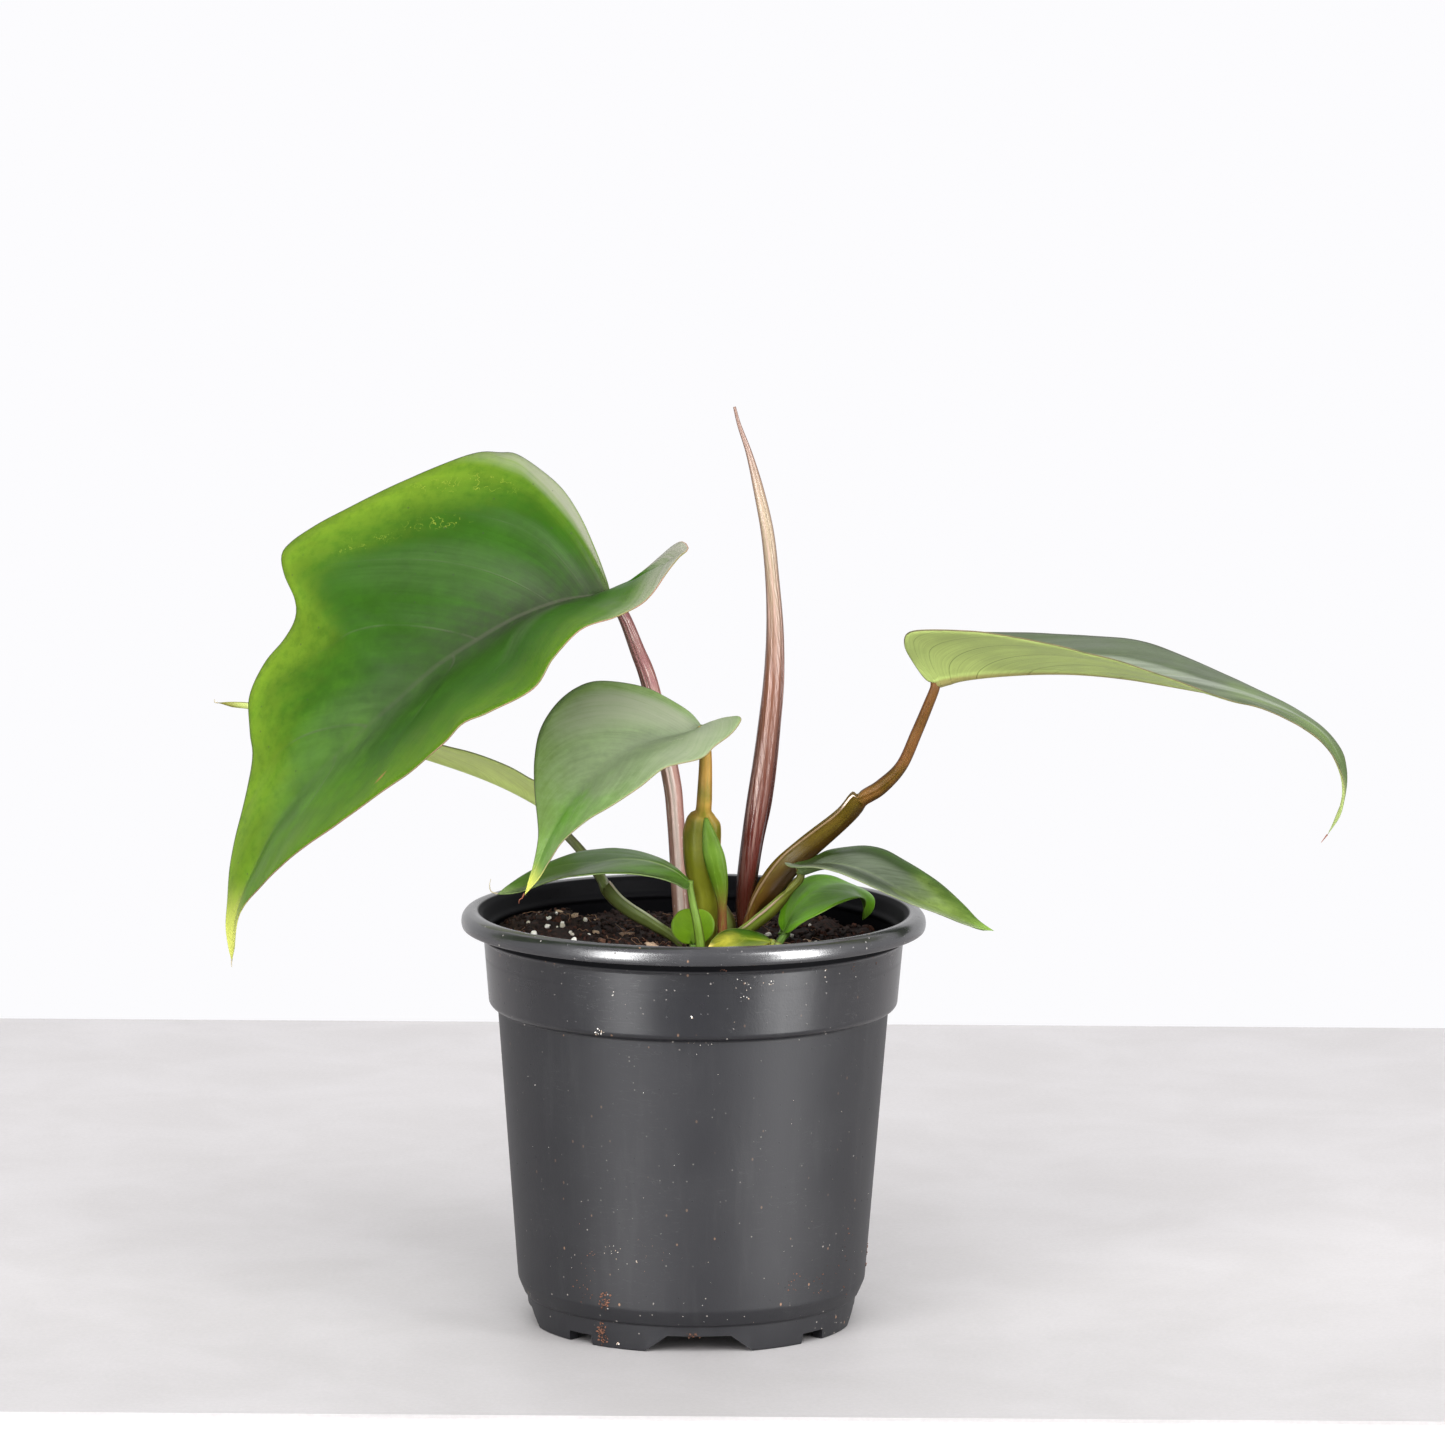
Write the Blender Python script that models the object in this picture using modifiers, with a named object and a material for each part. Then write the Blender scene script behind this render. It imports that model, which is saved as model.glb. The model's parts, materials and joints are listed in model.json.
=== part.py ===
"""A young plant with arrow-shaped leaves, standing in a round nursery pot, at its real size.

Every size and place is in millimetres from the pot's own axis (x = y = 0) and from the surface
that the pot stands on (z = 0). MM turns them into Blender's metres. The plant's broad side is
seen along +Y, with +X to the right. At the end everything hangs on one empty, which puts the
middle of the whole plant's box over the world's origin.
"""
import math
import random

import bmesh
import bpy
import numpy as np
from mathutils import Vector

MM = 0.001

# The pot: a thin-walled moulded pot with a collar, a rolled lip and a notched foot
POT_HEIGHT = 103.0
LIP_RADIUS = 57.5
COLLAR_TOP_RADIUS = 51.9
COLLAR_FOOT_RADIUS = 50.6
COLLAR_HEIGHT = 79.2
BODY_TOP_RADIUS = 48.4
BODY_FOOT_RADIUS = 43.2
FOOT_RADIUS = 40.2
FOOT_INNER_RADIUS = 37.2
FOOT_HEIGHT = 7.0
BASE_UNDERSIDE = 5.0
WALL = 1.2
POT_STEPS = 48

# The foot's notches repeat every quarter turn, a wide one and then a narrow one
NOTCH_START = math.radians(3.0)
WIDE_NOTCH = {"bottom": 26.7, "top": 15.5, "height": 4.3, "turn": 0.0}
NARROW_NOTCH = {"bottom": 7.6, "top": 7.2, "height": 2.6, "turn": math.radians(45.0)}
NOTCH_FROM_RADIUS = 33.0
NOTCH_TO_RADIUS = 44.0
DRAIN_RADIUS = 3.2
DRAIN_CIRCLE = 29.0

# The soil and what lies in it
SOIL_LEVEL = 94.0
SOIL_RINGS = 7
SOIL_TAPER = 0.5
FLOOR_RING_SHARE = 0.33
MOUND = {"x": -36.0, "y": 11.0, "height": 5.6, "spread": 9.5}
CLEARANCE = 0.3
GRAIN_SEED = 7
GRAIN_REACH = 44.0
PERLITE_COUNT = 14
BARK_COUNT = 6
GRAIN_FREE_ROUND_STEMS = 5.0

# Leaf blades are thin, with a midrib that stands out underneath and dies away to the tip
BLADE_THICKNESS = 0.7
MIDRIB_THICKNESS = 1.7
MIDRIB_SHARE = 0.07
VEIN_SWEEP = 1.7
LOBE_SHARE = 0.3
SECTION_STEPS = 5
EDGE_HALF = 0.3
FINE_STEPS = 16

# Each leaf's midrib runs from the petiole to the tip. Its left and right margins are as seen
# from above with the tip pointing away, and leave out the two ends, which the midrib gives.
LARGE_LEAF = {
    "midrib": [(-21, 0, 181.7), (-34, -2, 178.6), (-51.5, -4, 169), (-72.5, -6, 153), (-97, -6, 130.5),
               (-108, -6, 112.5), (-114, -4, 89.5)],
    "left": [(-16.8, -6, 183.9), (-13.1, -12, 188), (-9.4, -18, 191.7), (-5.7, -23, 195.7),
             (-3.3, -27, 197.4), (-1.9, -29, 196), (-3.7, -31, 194.5), (-6.8, -34, 190.3),
             (-10.3, -38, 185.7), (-13.8, -42, 183), (-19.3, -46, 180.9), (-27, -49.5, 178.6),
             (-33.6, -52, 172),
             (-38.3, -53, 164.7), (-48.5, -54, 159.3), (-55, -53.5, 156.4), (-59.8, -52, 151.4),
             (-71.6, -46, 141), (-82.7, -40, 131.8), (-94.1, -32, 122.6), (-103.2, -23, 113.7),
             (-110.6, -14, 104.3), (-113.3, -9, 96.8)],
    "right": [(-22.1, 2, 185.2), (-27, 9, 196.7), (-33.9, 17, 206), (-43.8, 24, 212.7), (-49.1, 26, 213.5),
              (-56.3, 27.5, 212.7), (-73.2, 30, 205.9), (-89.2, 30.5, 197.7), (-96.4, 30, 193.7),
              (-101.6, 29.5, 190), (-103.6, 27.5, 187), (-102.6, 24, 182.3), (-99.7, 19, 176.9),
              (-99.7, 18, 172.3), (-102.7, 19, 166.8), (-107.5, 19, 161), (-111.2, 16.5, 152.5),
              (-110.6, 12, 144.5), (-109.8, 10, 139.2), (-111, 8, 131.5), (-114.4, 3, 115.5),
              (-115.6, -2, 100.9), (-115, -4, 94)],
    "left_lobe_bow": (1.0, -5.0, -3.2),
    "rows": 26, "across": (0.35, 0.7, 1.0), "bulge": 4.0,
}
FRONT_LEAF = {
    "midrib": [(2, -6, 149.2), (-3.6, -8, 147.5), (-11, -11, 145.6), (-19.5, -15, 141.7), (-28, -20, 134.2),
               (-34.5, -25, 125), (-41, -30, 111)],
    "left": [(6.2, -10, 151.6), (9.8, -14, 153.2), (11.3, -17, 152.8), (9, -21, 150), (5, -26, 147.4),
             (1.4, -30, 144.8), (-7, -35, 143.2), (-13, -37, 138.9), (-20, -38, 134.2), (-26, -37, 130.4),
             (-32.3, -35, 125), (-36.7, -32, 118.4)],
    "right": [(-1.2, -4, 152.6), (-7.4, -1, 156), (-13.6, 1.5, 158.3), (-23.5, 3, 159.3), (-29.6, 2, 157.5),
              (-34.5, -1, 153.7), (-38, -7, 148.3), (-39.2, -13, 141.8), (-39, -18, 135),
              (-38.2, -22, 128.3), (-38, -25, 124), (-39, -28, 118)],
    "rows": 18, "across": (0.35, 0.7, 1.0), "bulge": 2.0,
}
RIGHT_LEAF = {
    "midrib": [(59, -3, 160.6), (66, -3, 161.9), (86, -3, 162.5), (102, -4, 161.7), (118, -5, 159.7),
               (133.5, -7, 157.4), (144.5, -8, 154), (151.2, -9, 150.4), (156, -9, 145),
               (159.1, -9, 138), (159, -9, 131.6), (155.4, -9, 123.7)],
    "left": [(56.7, 6, 161.6), (54.5, 14, 164.8), (57, 20, 167.6), (63.5, 24, 169), (73.7, 25, 169.3),
             (87, 26, 169), (98, 25, 168.7), (110, 24, 167.7), (119.5, 21, 165), (130, 16, 161),
             (143.4, 7, 155.8), (153.4, -1, 150.5), (158.6, -5, 145.2), (160.2, -7, 140.5),
             (160.2, -8, 135), (158.8, -9, 129)],
    "right": [(56.7, -5, 161), (52.8, -11, 166.8), (50.8, -18, 171.8), (52.3, -23, 175.4), (60.5, -26, 176.3),
              (71.5, -28, 175.7), (84.5, -29, 173.7), (95.2, -28, 171.2), (105.8, -26, 168),
              (121.6, -20, 161.8), (131.4, -16, 157.9), (138.8, -15, 155.9), (149.4, -13, 150.6),
              (156, -11, 144.4), (159.4, -10.5, 137), (159, -10, 129.8)],
    "rows": 24, "across": (0.35, 0.7, 1.0), "bulge": 1.5,
}
REAR_LEAF = {
    "midrib": [(-36.7, 22, 125.4), (-40, 23, 127), (-49.4, 27, 130.2), (-61, 31, 133.4), (-84.7, 38, 139),
               (-100, 42, 142.8), (-110.4, 45, 145.7), (-117, 47, 146.4), (-121.5, 48, 147)],
    "left": [(-34.7, 20, 126.6), (-33.6, 17, 128.9), (-36, 14, 131.6), (-40.2, 13, 133), (-46, 14, 136),
             (-54.8, 17, 139), (-63.7, 21, 140.7), (-79, 28, 143.6), (-97, 36, 146.4), (-107.6, 42, 147.6),
             (-113.7, 45, 147.6), (-118, 47, 147.4)],
    "right": [(-35, 24, 126.6), (-35, 29, 127.6), (-37.8, 33, 128), (-44.2, 37, 130), (-55.7, 41, 134.3),
              (-67.3, 44, 136.6), (-82.6, 47, 139.6), (-98, 49, 143.2), (-110.6, 49, 146.2)],
    "rows": 16, "across": (0.5, 1.0), "bulge": 1.0,
}
LEFT_LOW_LEAF = {
    "midrib": [(-0.9, -12, 112), (-5.3, -12, 115), (-10.5, -11, 116.6), (-16.7, -11, 117), (-22.8, -11, 115.8),
               (-29, -11, 114), (-35, -12, 112.4), (-42.6, -13, 110), (-48.2, -14, 108.6)],
    "left": [(-1.6, -16, 110.5), (-4.3, -19, 112.3), (-8.4, -22, 114.2), (-14.5, -24, 115.5),
             (-20.6, -25, 115.8), (-26.6, -25, 115.3), (-32.8, -23, 114.2), (-38, -20, 112),
             (-43, -17, 109.7)],
    "right": [(-2.9, -7, 113), (-6.7, -2, 115.2), (-13, 1, 117), (-19, 2, 117.7), (-23.8, 2, 117.4),
              (-29.2, 1, 116.8), (-35.5, -2, 115), (-41.3, -6, 112.6), (-45.6, -11, 110.4)],
    "rows": 12, "across": (0.5, 1.0), "bulge": 0.6,
}
RIGHT_LOW_LEAF = {
    "midrib": [(26.1, -8, 114.6), (33.7, -8, 115.7), (41, -9, 114), (47.2, -10, 111), (54, -11, 107.6),
               (63.2, -13, 103.8), (69, -14, 101.5), (73.7, -15, 100.5)],
    "left": [(24.4, -5, 115), (25.4, -2, 115.2), (28.4, 0, 115.6), (33, 3, 117.4), (38.4, 5, 118),
             (43, 5, 118.2), (47.5, 4, 117.4), (52.2, 2, 115.2), (56.6, -1, 113), (61.2, -4, 110.2),
             (66.5, -9, 106), (70, -12, 102.7)],
    "right": [(23.6, -11, 116), (22.3, -14, 117), (24, -17, 116.5), (30, -20, 116.9), (35.2, -22, 116.1),
              (40.8, -23, 113.9), (47, -23, 111), (53.8, -22, 108), (60.7, -20, 105.3), (66.7, -18, 102.6)],
    "rows": 14, "across": (0.5, 1.0), "bulge": 0.8,
}
BRIGHT_LEAF = {
    "midrib": [(22, 0, 97), (25, 3, 102.8), (30, 6, 107), (36.3, 9, 108), (41.8, 11, 105.6), (43.4, 12, 101.4),
               (42, 12, 98.2)],
    "left": [(21, 2, 99.4), (21.4, 4, 101.6), (22, 7, 104.6), (25, 11, 107.5), (29.4, 14, 109.3),
             (34, 16, 109), (38.7, 17, 107), (43.4, 16, 105), (45.2, 14.5, 103), (44.5, 13, 100.2)],
    "right": [(23.8, -3, 97.8), (27, -6, 100.8), (31.6, -7, 103.5), (36, -5, 105.5), (40.8, -1, 106.3),
              (42.7, 4, 104.5), (42.3, 9, 101)],
    "rows": 11, "across": (0.5, 1.0), "bulge": 0.6,
}
ROUND_LEAF = {
    "midrib": [(0, -8.5, 95.6), (-0.2, -8.2, 99.5), (-0.3, -6.8, 104)],
    "left": [(-2.5, -8.8, 95.8), (-4.8, -8.6, 97.8), (-5.5, -8, 100.5), (-4, -7.2, 103.2), (-2, -6.9, 104.1)],
    "right": [(2.5, -8.8, 95.8), (4.6, -8.6, 98), (5.2, -8, 100.8), (4, -7.2, 103), (2, -6.9, 104)],
    "rows": 8, "across": (0.5, 1.0), "bulge": 0.4,
}
YELLOW_LEAF = {
    "midrib": [(19.4, -9.5, 96.5), (15, -11.5, 97.3), (10, -13, 98), (6, -14.5, 97), (3.6, -15.8, 96)],
    "left": [(17.5, -13, 96), (14, -16.5, 95.8), (9.5, -18.8, 95.8), (5.5, -18, 95.7)],
    "right": [(17.8, -8.8, 97.8), (16, -8.6, 98.6), (12.4, -9.4, 99.6), (9, -10, 99.7), (6.5, -11.5, 99),
              (4.6, -13.8, 97.6)],
    "rows": 8, "across": (0.5, 1.0), "bulge": 0.5,
}
LEAVES = {
    "large_leaf": LARGE_LEAF, "front_leaf": FRONT_LEAF, "right_leaf": RIGHT_LEAF, "rear_leaf": REAR_LEAF,
    "left_low_leaf": LEFT_LOW_LEAF, "right_low_leaf": RIGHT_LOW_LEAF, "bright_leaf": BRIGHT_LEAF,
    "round_leaf": ROUND_LEAF, "yellow_leaf": YELLOW_LEAF,
}

# A stalk's stations run from its root up: x, y, z, half width across, depth of its outer side and
# depth of its inner side. A negative inner depth is the channel of a sheath. The inner side faces
# the direction given, which is mostly towards the middle of the plant.
STALKS = {
    "crown": {"inner": (0, 1, 0), "rings": 6, "stations": [
        (6, 4.5, 84, 4.0, 3.7, 3.7), (6, 4.5, 93, 4.2, 3.9, 3.9), (6, 4.5, 99, 4.2, 3.9, 3.9),
        (6, 4.5, 103, 2.2, 1.9, 1.9)]},
    "large_leaf_petiole": {"inner": (-1, 0.4, 0), "rings": 13, "stations": [
        (-2, 8.5, 87, 1.9, 1.6, 1.6), (-3.2, 9, 101.6, 2.1, 1.8, 1.8), (-4.7, 9.5, 123.6, 2.1, 1.8, 1.8),
        (-6.1, 10, 135.2, 2.2, 1.9, 1.9), (-11.2, 9.5, 157.3, 2.1, 1.8, 1.8), (-14.4, 7, 166.5, 1.8, 1.5, 1.5),
        (-17.6, 4, 175, 1.5, 1.2, 1.2), (-20.4, 0.7, 179.9, 1.3, 1.0, 1.0)]},
    "front_leaf_petiole": {"inner": (0.1, 1, 0), "rings": 14, "stations": [
        (3.5, -2.5, 87, 1.5, 1.3, 1.3), (3.4, -2.6, 94.5, 1.7, 1.4, 1.2), (3.3, -2.4, 100, 2.6, 2.0, -0.4),
        (2.9, -2.2, 107, 3.4, 2.6, -1.3), (2.0, -2.6, 114, 4.3, 3.0, -1.6), (1.9, -2.8, 121, 4.7, 3.2, -1.6),
        (2.1, -3.4, 127, 4.3, 3.0, -1.2), (2.3, -5.1, 129.5, 1.8, 1.6, 1.3),
        (2.5, -5.9, 132, 1.7, 1.4, 1.4), (2.7, -6.5, 141.3, 1.4, 1.1, 1.1), (2.3, -6.8, 147, 1.3, 1.0, 1.0)]},
    "right_leaf_petiole": {"inner": (-1, 0, 1), "rings": 20, "stations": [
        (12.5, -1.6, 88, 1.6, 1.4, 1.4), (13, -1.6, 97, 1.7, 1.6, 1.2), (13.6, -1.5, 103, 1.9, 2.2, -0.2),
        (16.2, -0.8, 109, 2.2, 4.6, -2.8), (20.4, 2, 114.7, 2.3, 5.6, -3.6), (26.2, 5, 119.4, 2.3, 5.4, -3.4),
        (33.5, 6, 124.9, 2.2, 5.0, -2.9), (38.4, 5.5, 129.2, 2.0, 4.8, -2.2),
        (42, 5, 130.4, 1.8, 3.0, 0.6), (46, 4, 132.6, 1.6, 2.2, 1.3), (51.1, 1.5, 138.9, 1.5, 1.2, 1.2),
        (54.7, -0.7, 147.6, 1.4, 1.1, 1.1), (57.3, -2.4, 154.4, 1.3, 1.0, 1.0),
        (58.9, -3.2, 158.8, 1.2, 0.9, 0.9)]},
    "rear_leaf_petiole": {"inner": (0.6, 0.4, 1), "rings": 16, "stations": [
        (-2.6, 0, 88, 1.5, 1.2, 1.2), (-3.2, 0.4, 94.5, 1.6, 1.3, 1.2), (-9.3, 3, 99, 2.2, 2.0, -0.6),
        (-15.4, 6, 102.4, 2.7, 2.4, -1.0), (-20.4, 9, 106, 2.6, 2.2, -0.8), (-23.4, 12.4, 110, 1.5, 1.4, 0.6),
        (-28, 17, 114.2, 1.2, 0.9, 0.9), (-34.2, 21, 120.3, 1.1, 0.8, 0.8),
        (-36.9, 22, 124, 1.1, 0.8, 0.8)]},
    "left_low_leaf_petiole": {"inner": (1, 0, 0), "rings": 7, "stations": [
        (2.4, -13, 88, 1.2, 0.9, 0.9), (1.7, -13, 96.4, 1.2, 0.9, 0.9), (0.9, -13, 101.6, 1.1, 0.8, 0.8),
        (-0.1, -12.2, 106, 1.0, 0.7, 0.7), (-0.9, -12, 110.3, 0.9, 0.6, 0.6)]},
    "right_low_leaf_petiole": {"inner": (-1, 0, 1), "rings": 12, "stations": [
        (9.6, -6.2, 88, 1.2, 1.0, 1.0), (10.2, -6.3, 97, 1.3, 1.2, 0.8), (13.8, -6.7, 100.8, 1.6, 2.2, -1.0),
        (18, -7, 104.4, 1.6, 2.3, -1.1), (21.6, -7.4, 107.7, 1.4, 1.8, -0.4), (24, -7.8, 109.6, 1.0, 0.8, 0.8),
        (25.5, -8, 111.2, 1.0, 0.8, 0.8), (26.3, -8, 112.5, 1.0, 0.7, 0.7)]},
    "bright_leaf_petiole": {"inner": (-1, 0, 1), "rings": 4, "stations": [
        (17.5, -1.2, 88.5, 1.1, 0.8, 0.8), (19.8, -0.6, 92.5, 1.1, 0.8, 0.8), (22.2, 0, 96.3, 1.0, 0.7, 0.7)]},
    "round_leaf_petiole": {"inner": (0, -1, 0), "rings": 3, "stations": [
        (0.2, -8, 88.5, 0.9, 0.6, 0.6), (0.1, -8.1, 92, 0.9, 0.6, 0.6), (0, -8.3, 95.1, 0.8, 0.5, 0.5)]},
    "yellow_leaf_petiole": {"inner": (-1, 0, 1), "rings": 5, "stations": [
        (23, -6.6, 88.5, 0.9, 0.7, 0.7), (22.4, -8.2, 92.5, 0.9, 0.7, 0.7), (21.4, -8.9, 95, 0.9, 0.7, 0.7),
        (19.7, -9.2, 95.9, 0.8, 0.6, 0.6)]},
    "rolled_leaf": {"inner": (-1, 0, 0), "rings": 18, "stations": [
        (12.8, 4.6, 87, 1.6, 1.3, 1.3), (12.6, 4.6, 97, 1.8, 1.5, 1.5), (12.4, 4.5, 103.7, 2.1, 1.8, 1.8),
        (13.1, 4, 110.5, 2.6, 2.3, 2.3), (13.7, 3.5, 120, 2.8, 2.5, 2.5), (16.2, 3, 129.7, 3.0, 2.7, 2.7),
        (17.4, 2.5, 139, 2.9, 2.6, 2.6), (18.3, 2, 149, 2.7, 2.4, 2.4), (19.3, 2, 160, 2.5, 2.2, 2.2),
        (19.5, 2, 172, 2.1, 1.8, 1.8), (18.8, 3, 184, 1.7, 1.4, 1.4), (17.5, 3, 196, 1.6, 1.3, 1.3),
        (15.3, 4, 206.5, 1.3, 1.0, 1.0), (12.9, 5, 215.5, 0.8, 0.5, 0.5), (10.4, 6, 222.5, 0.4, 0.2, 0.2),
        (9.2, 6, 227, 0.2, 0.05, 0.05)]},
    "cataphyll": {"inner": (0, 1, 0), "rings": 10, "stations": [
        (7.2, -6, 88, 0.9, 0.7, 0.7), (7.1, -6.2, 98.7, 1.0, 0.7, 0.7), (7, -6.6, 105, 1.0, 0.7, 0.7),
        (6.5, -7.2, 110, 1.8, 0.8, 0.7), (5.4, -7.8, 115.5, 2.4, 0.9, 0.7), (4.4, -8.2, 119.5, 2.2, 0.8, 0.6),
        (3.3, -8.5, 124.5, 1.1, 0.5, 0.3), (2.9, -8.5, 127, 0.3, 0.1, 0.1)]},
}

# Colours as the plant shows them, with roughness
FINISHES = {
    "pot_plastic": ((0.035, 0.036, 0.040), 0.42),
    "peat": ((0.045, 0.022, 0.014), 0.95),
    "leaf_green": ((0.060, 0.190, 0.030), 0.40),
    "leaf_grey_green": ((0.110, 0.210, 0.080), 0.45),
    "leaf_light_green": ((0.230, 0.400, 0.100), 0.45),
    "leaf_bright_green": ((0.080, 0.300, 0.030), 0.40),
    "leaf_yellow": ((0.620, 0.600, 0.090), 0.45),
    "stalk_brown": ((0.220, 0.110, 0.060), 0.35),
    "stalk_olive": ((0.180, 0.170, 0.035), 0.40),
    "stalk_green": ((0.160, 0.260, 0.060), 0.40),
    "rolled_leaf_bronze": ((0.380, 0.170, 0.120), 0.30),
}
NODE_FINISH = {
    "pot": "pot_plastic", "soil": "peat", "crown": "stalk_green",
    "large_leaf_blade": "leaf_green", "front_leaf_blade": "leaf_grey_green",
    "right_leaf_blade": "leaf_light_green", "rear_leaf_blade": "leaf_light_green",
    "left_low_leaf_blade": "leaf_green", "right_low_leaf_blade": "leaf_green",
    "bright_leaf_blade": "leaf_bright_green", "round_leaf_blade": "leaf_bright_green",
    "yellow_leaf_blade": "leaf_yellow", "rolled_leaf": "rolled_leaf_bronze", "cataphyll": "leaf_bright_green",
    "large_leaf_petiole": "stalk_brown", "front_leaf_petiole": "stalk_olive",
    "right_leaf_petiole": "stalk_olive", "rear_leaf_petiole": "stalk_green",
    "left_low_leaf_petiole": "stalk_green", "right_low_leaf_petiole": "stalk_green",
    "bright_leaf_petiole": "stalk_green", "round_leaf_petiole": "stalk_green",
    "yellow_leaf_petiole": "stalk_green",
}


def clear_scene():
    """Remove the objects of the startup scene."""
    for obj in list(bpy.data.objects):
        bpy.data.objects.remove(obj, do_unlink=True)


def new_collection(name):
    collection = bpy.data.collections.new(name)
    bpy.context.scene.collection.children.link(collection)
    return collection


def finish(name):
    """Return the named finish as a material, made once."""
    material = bpy.data.materials.get(name)
    if material is None:
        colour, roughness = FINISHES[name]
        material = bpy.data.materials.new(name)
        material.use_nodes = True
        shader = material.node_tree.nodes["Principled BSDF"]
        shader.inputs["Base Color"].default_value = (*colour, 1.0)
        shader.inputs["Roughness"].default_value = roughness
        shader.inputs["Metallic"].default_value = 0.0
    return material


def add_object(name, mesh, collection):
    obj = bpy.data.objects.new(name, mesh)
    collection.objects.link(obj)
    return obj


def mesh_from(name, points, faces):
    """Make a mesh from points in millimetres, with its faces turned the same way."""
    mesh = bpy.data.meshes.new(name)
    mesh.from_pydata([tuple(float(value) * MM for value in point) for point in points], [], faces)
    mesh.update()
    return mesh


def apply_modifiers(obj):
    """Replace an object's mesh with what its modifiers make of it."""
    graph = bpy.context.evaluated_depsgraph_get()
    made = bpy.data.meshes.new_from_object(obj.evaluated_get(graph))
    obj.modifiers.clear()
    obj.data = made


def smooth_rows(rows, count):
    """Spread rows (x, y, z and any more values) evenly along a smooth curve through the given ones."""
    rows = np.array(rows, float)
    padded = np.vstack([2 * rows[0] - rows[1], rows, 2 * rows[-1] - rows[-2]])
    dense = []
    for before, start, end, after in zip(padded, padded[1:], padded[2:], padded[3:]):
        for u in np.linspace(0, 1, FINE_STEPS, endpoint=False):
            dense.append(0.5 * (2 * start + (end - before) * u
                                + (2 * before - 5 * start + 4 * end - after) * u ** 2
                                + (3 * start - before - 3 * end + after) * u ** 3))
    dense.append(rows[-1])
    dense = np.array(dense)
    steps = np.linalg.norm(np.diff(dense[:, :3], axis=0), axis=1)
    travelled = np.concatenate([[0.0], np.cumsum(steps)])
    wanted = np.linspace(0, travelled[-1], count)
    return np.column_stack([np.interp(wanted, travelled, column) for column in dense.T])


def unit(vector):
    return vector / max(np.linalg.norm(vector), 1e-9)


def blade_half(leaf, side, foot_of_vein, tangents):
    """Return the points of one half, row by row from the midrib out, without the midrib itself.

    A vein bulges upwards between its ends. In a curved lobe it also bends by the lobe's own bow.
    """
    rows = leaf["rows"]
    ends = [leaf["midrib"][0], leaf["midrib"][-1]]
    margin = smooth_rows([ends[0], *leaf[side], ends[1]], rows + 1)
    shares = [MIDRIB_SHARE, *leaf["across"]]
    lobe_bow = np.array(leaf.get(side + "_lobe_bow", (0.0, 0.0, 0.0)))
    points = []
    for row in range(1, rows):
        foot = foot_of_vein[row]
        vein = margin[row] - foot
        upward = np.cross(tangents[row], vein) if side == "left" else np.cross(vein, tangents[row])
        bow = leaf["bulge"] * math.sin(math.pi * row / rows) * unit(upward)
        bow += math.sin(math.pi * min(1.0, row / (LOBE_SHARE * rows))) * lobe_bow
        points.append([foot + share * vein + 4 * share * (1 - share) * bow for share in shares])
    return points


def blade_points(leaf):
    """Return the midrib and both halves of a blade."""
    rows = leaf["rows"]
    fine = smooth_rows(leaf["midrib"], rows * FINE_STEPS + 1)
    picks = [round((row / rows) ** VEIN_SWEEP * rows * FINE_STEPS) for row in range(rows + 1)]
    slopes = np.gradient(fine, axis=0)
    feet = fine[picks]
    tangents = [unit(slopes[pick]) for pick in picks]
    return feet, {side: blade_half(leaf, side, feet, tangents) for side in ("left", "right")}


def blade_mesh(name, leaf):
    """Loft a blade from its midrib to both margins, in triangles, meeting in one point at each end."""
    feet, halves = blade_points(leaf)
    last = leaf["rows"]
    width = 1 + len(leaf["across"])
    points = list(feet)
    faces = []
    for side in ("left", "right"):
        start = len(points)
        for row in halves[side]:
            points.extend(row)

        def index(row, column):
            if row in (0, last):
                return row
            return row if column == 0 else start + (row - 1) * width + column - 1

        for row in range(last):
            for column in range(width):
                corners = [index(row, column), index(row + 1, column),
                           index(row + 1, column + 1), index(row, column + 1)]
                if side == "right":
                    corners.reverse()
                for triangle in (corners[:3], [corners[2], corners[3], corners[0]]):
                    if len(set(triangle)) == 3:
                        faces.append(triangle)
    return mesh_from(name, points, faces)


def add_blade(name, leaf, collection):
    """Make a blade and thicken it downwards, most along the midrib."""
    obj = add_object(name, blade_mesh(name, leaf), collection)
    group = obj.vertex_groups.new(name="thickness")
    thin = BLADE_THICKNESS / MIDRIB_THICKNESS
    last = leaf["rows"]
    for vertex in obj.data.vertices:
        on_midrib = vertex.index < last
        share = 1.0 - vertex.index / last if on_midrib else 0.0
        group.add([vertex.index], thin + (1.0 - thin) * share, "REPLACE")
    solid = obj.modifiers.new("thickness", "SOLIDIFY")
    solid.thickness = MIDRIB_THICKNESS * MM
    solid.offset = -1.0
    solid.vertex_group = group.name
    solid.thickness_vertex_group = 0.0
    obj.data.shade_smooth()
    return obj


def section(half_width, outer, inner, steps):
    """Return the cross-section of a stalk: an outer half and an inner half that may be a channel."""
    turns = [math.pi * step / steps for step in range(steps + 1)]
    outside = [(half_width * math.cos(turn), -outer * math.sin(turn) - EDGE_HALF) for turn in turns]
    inside = [(-half_width * math.cos(turn), inner * math.sin(turn) + EDGE_HALF) for turn in turns]
    return outside + inside


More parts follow.
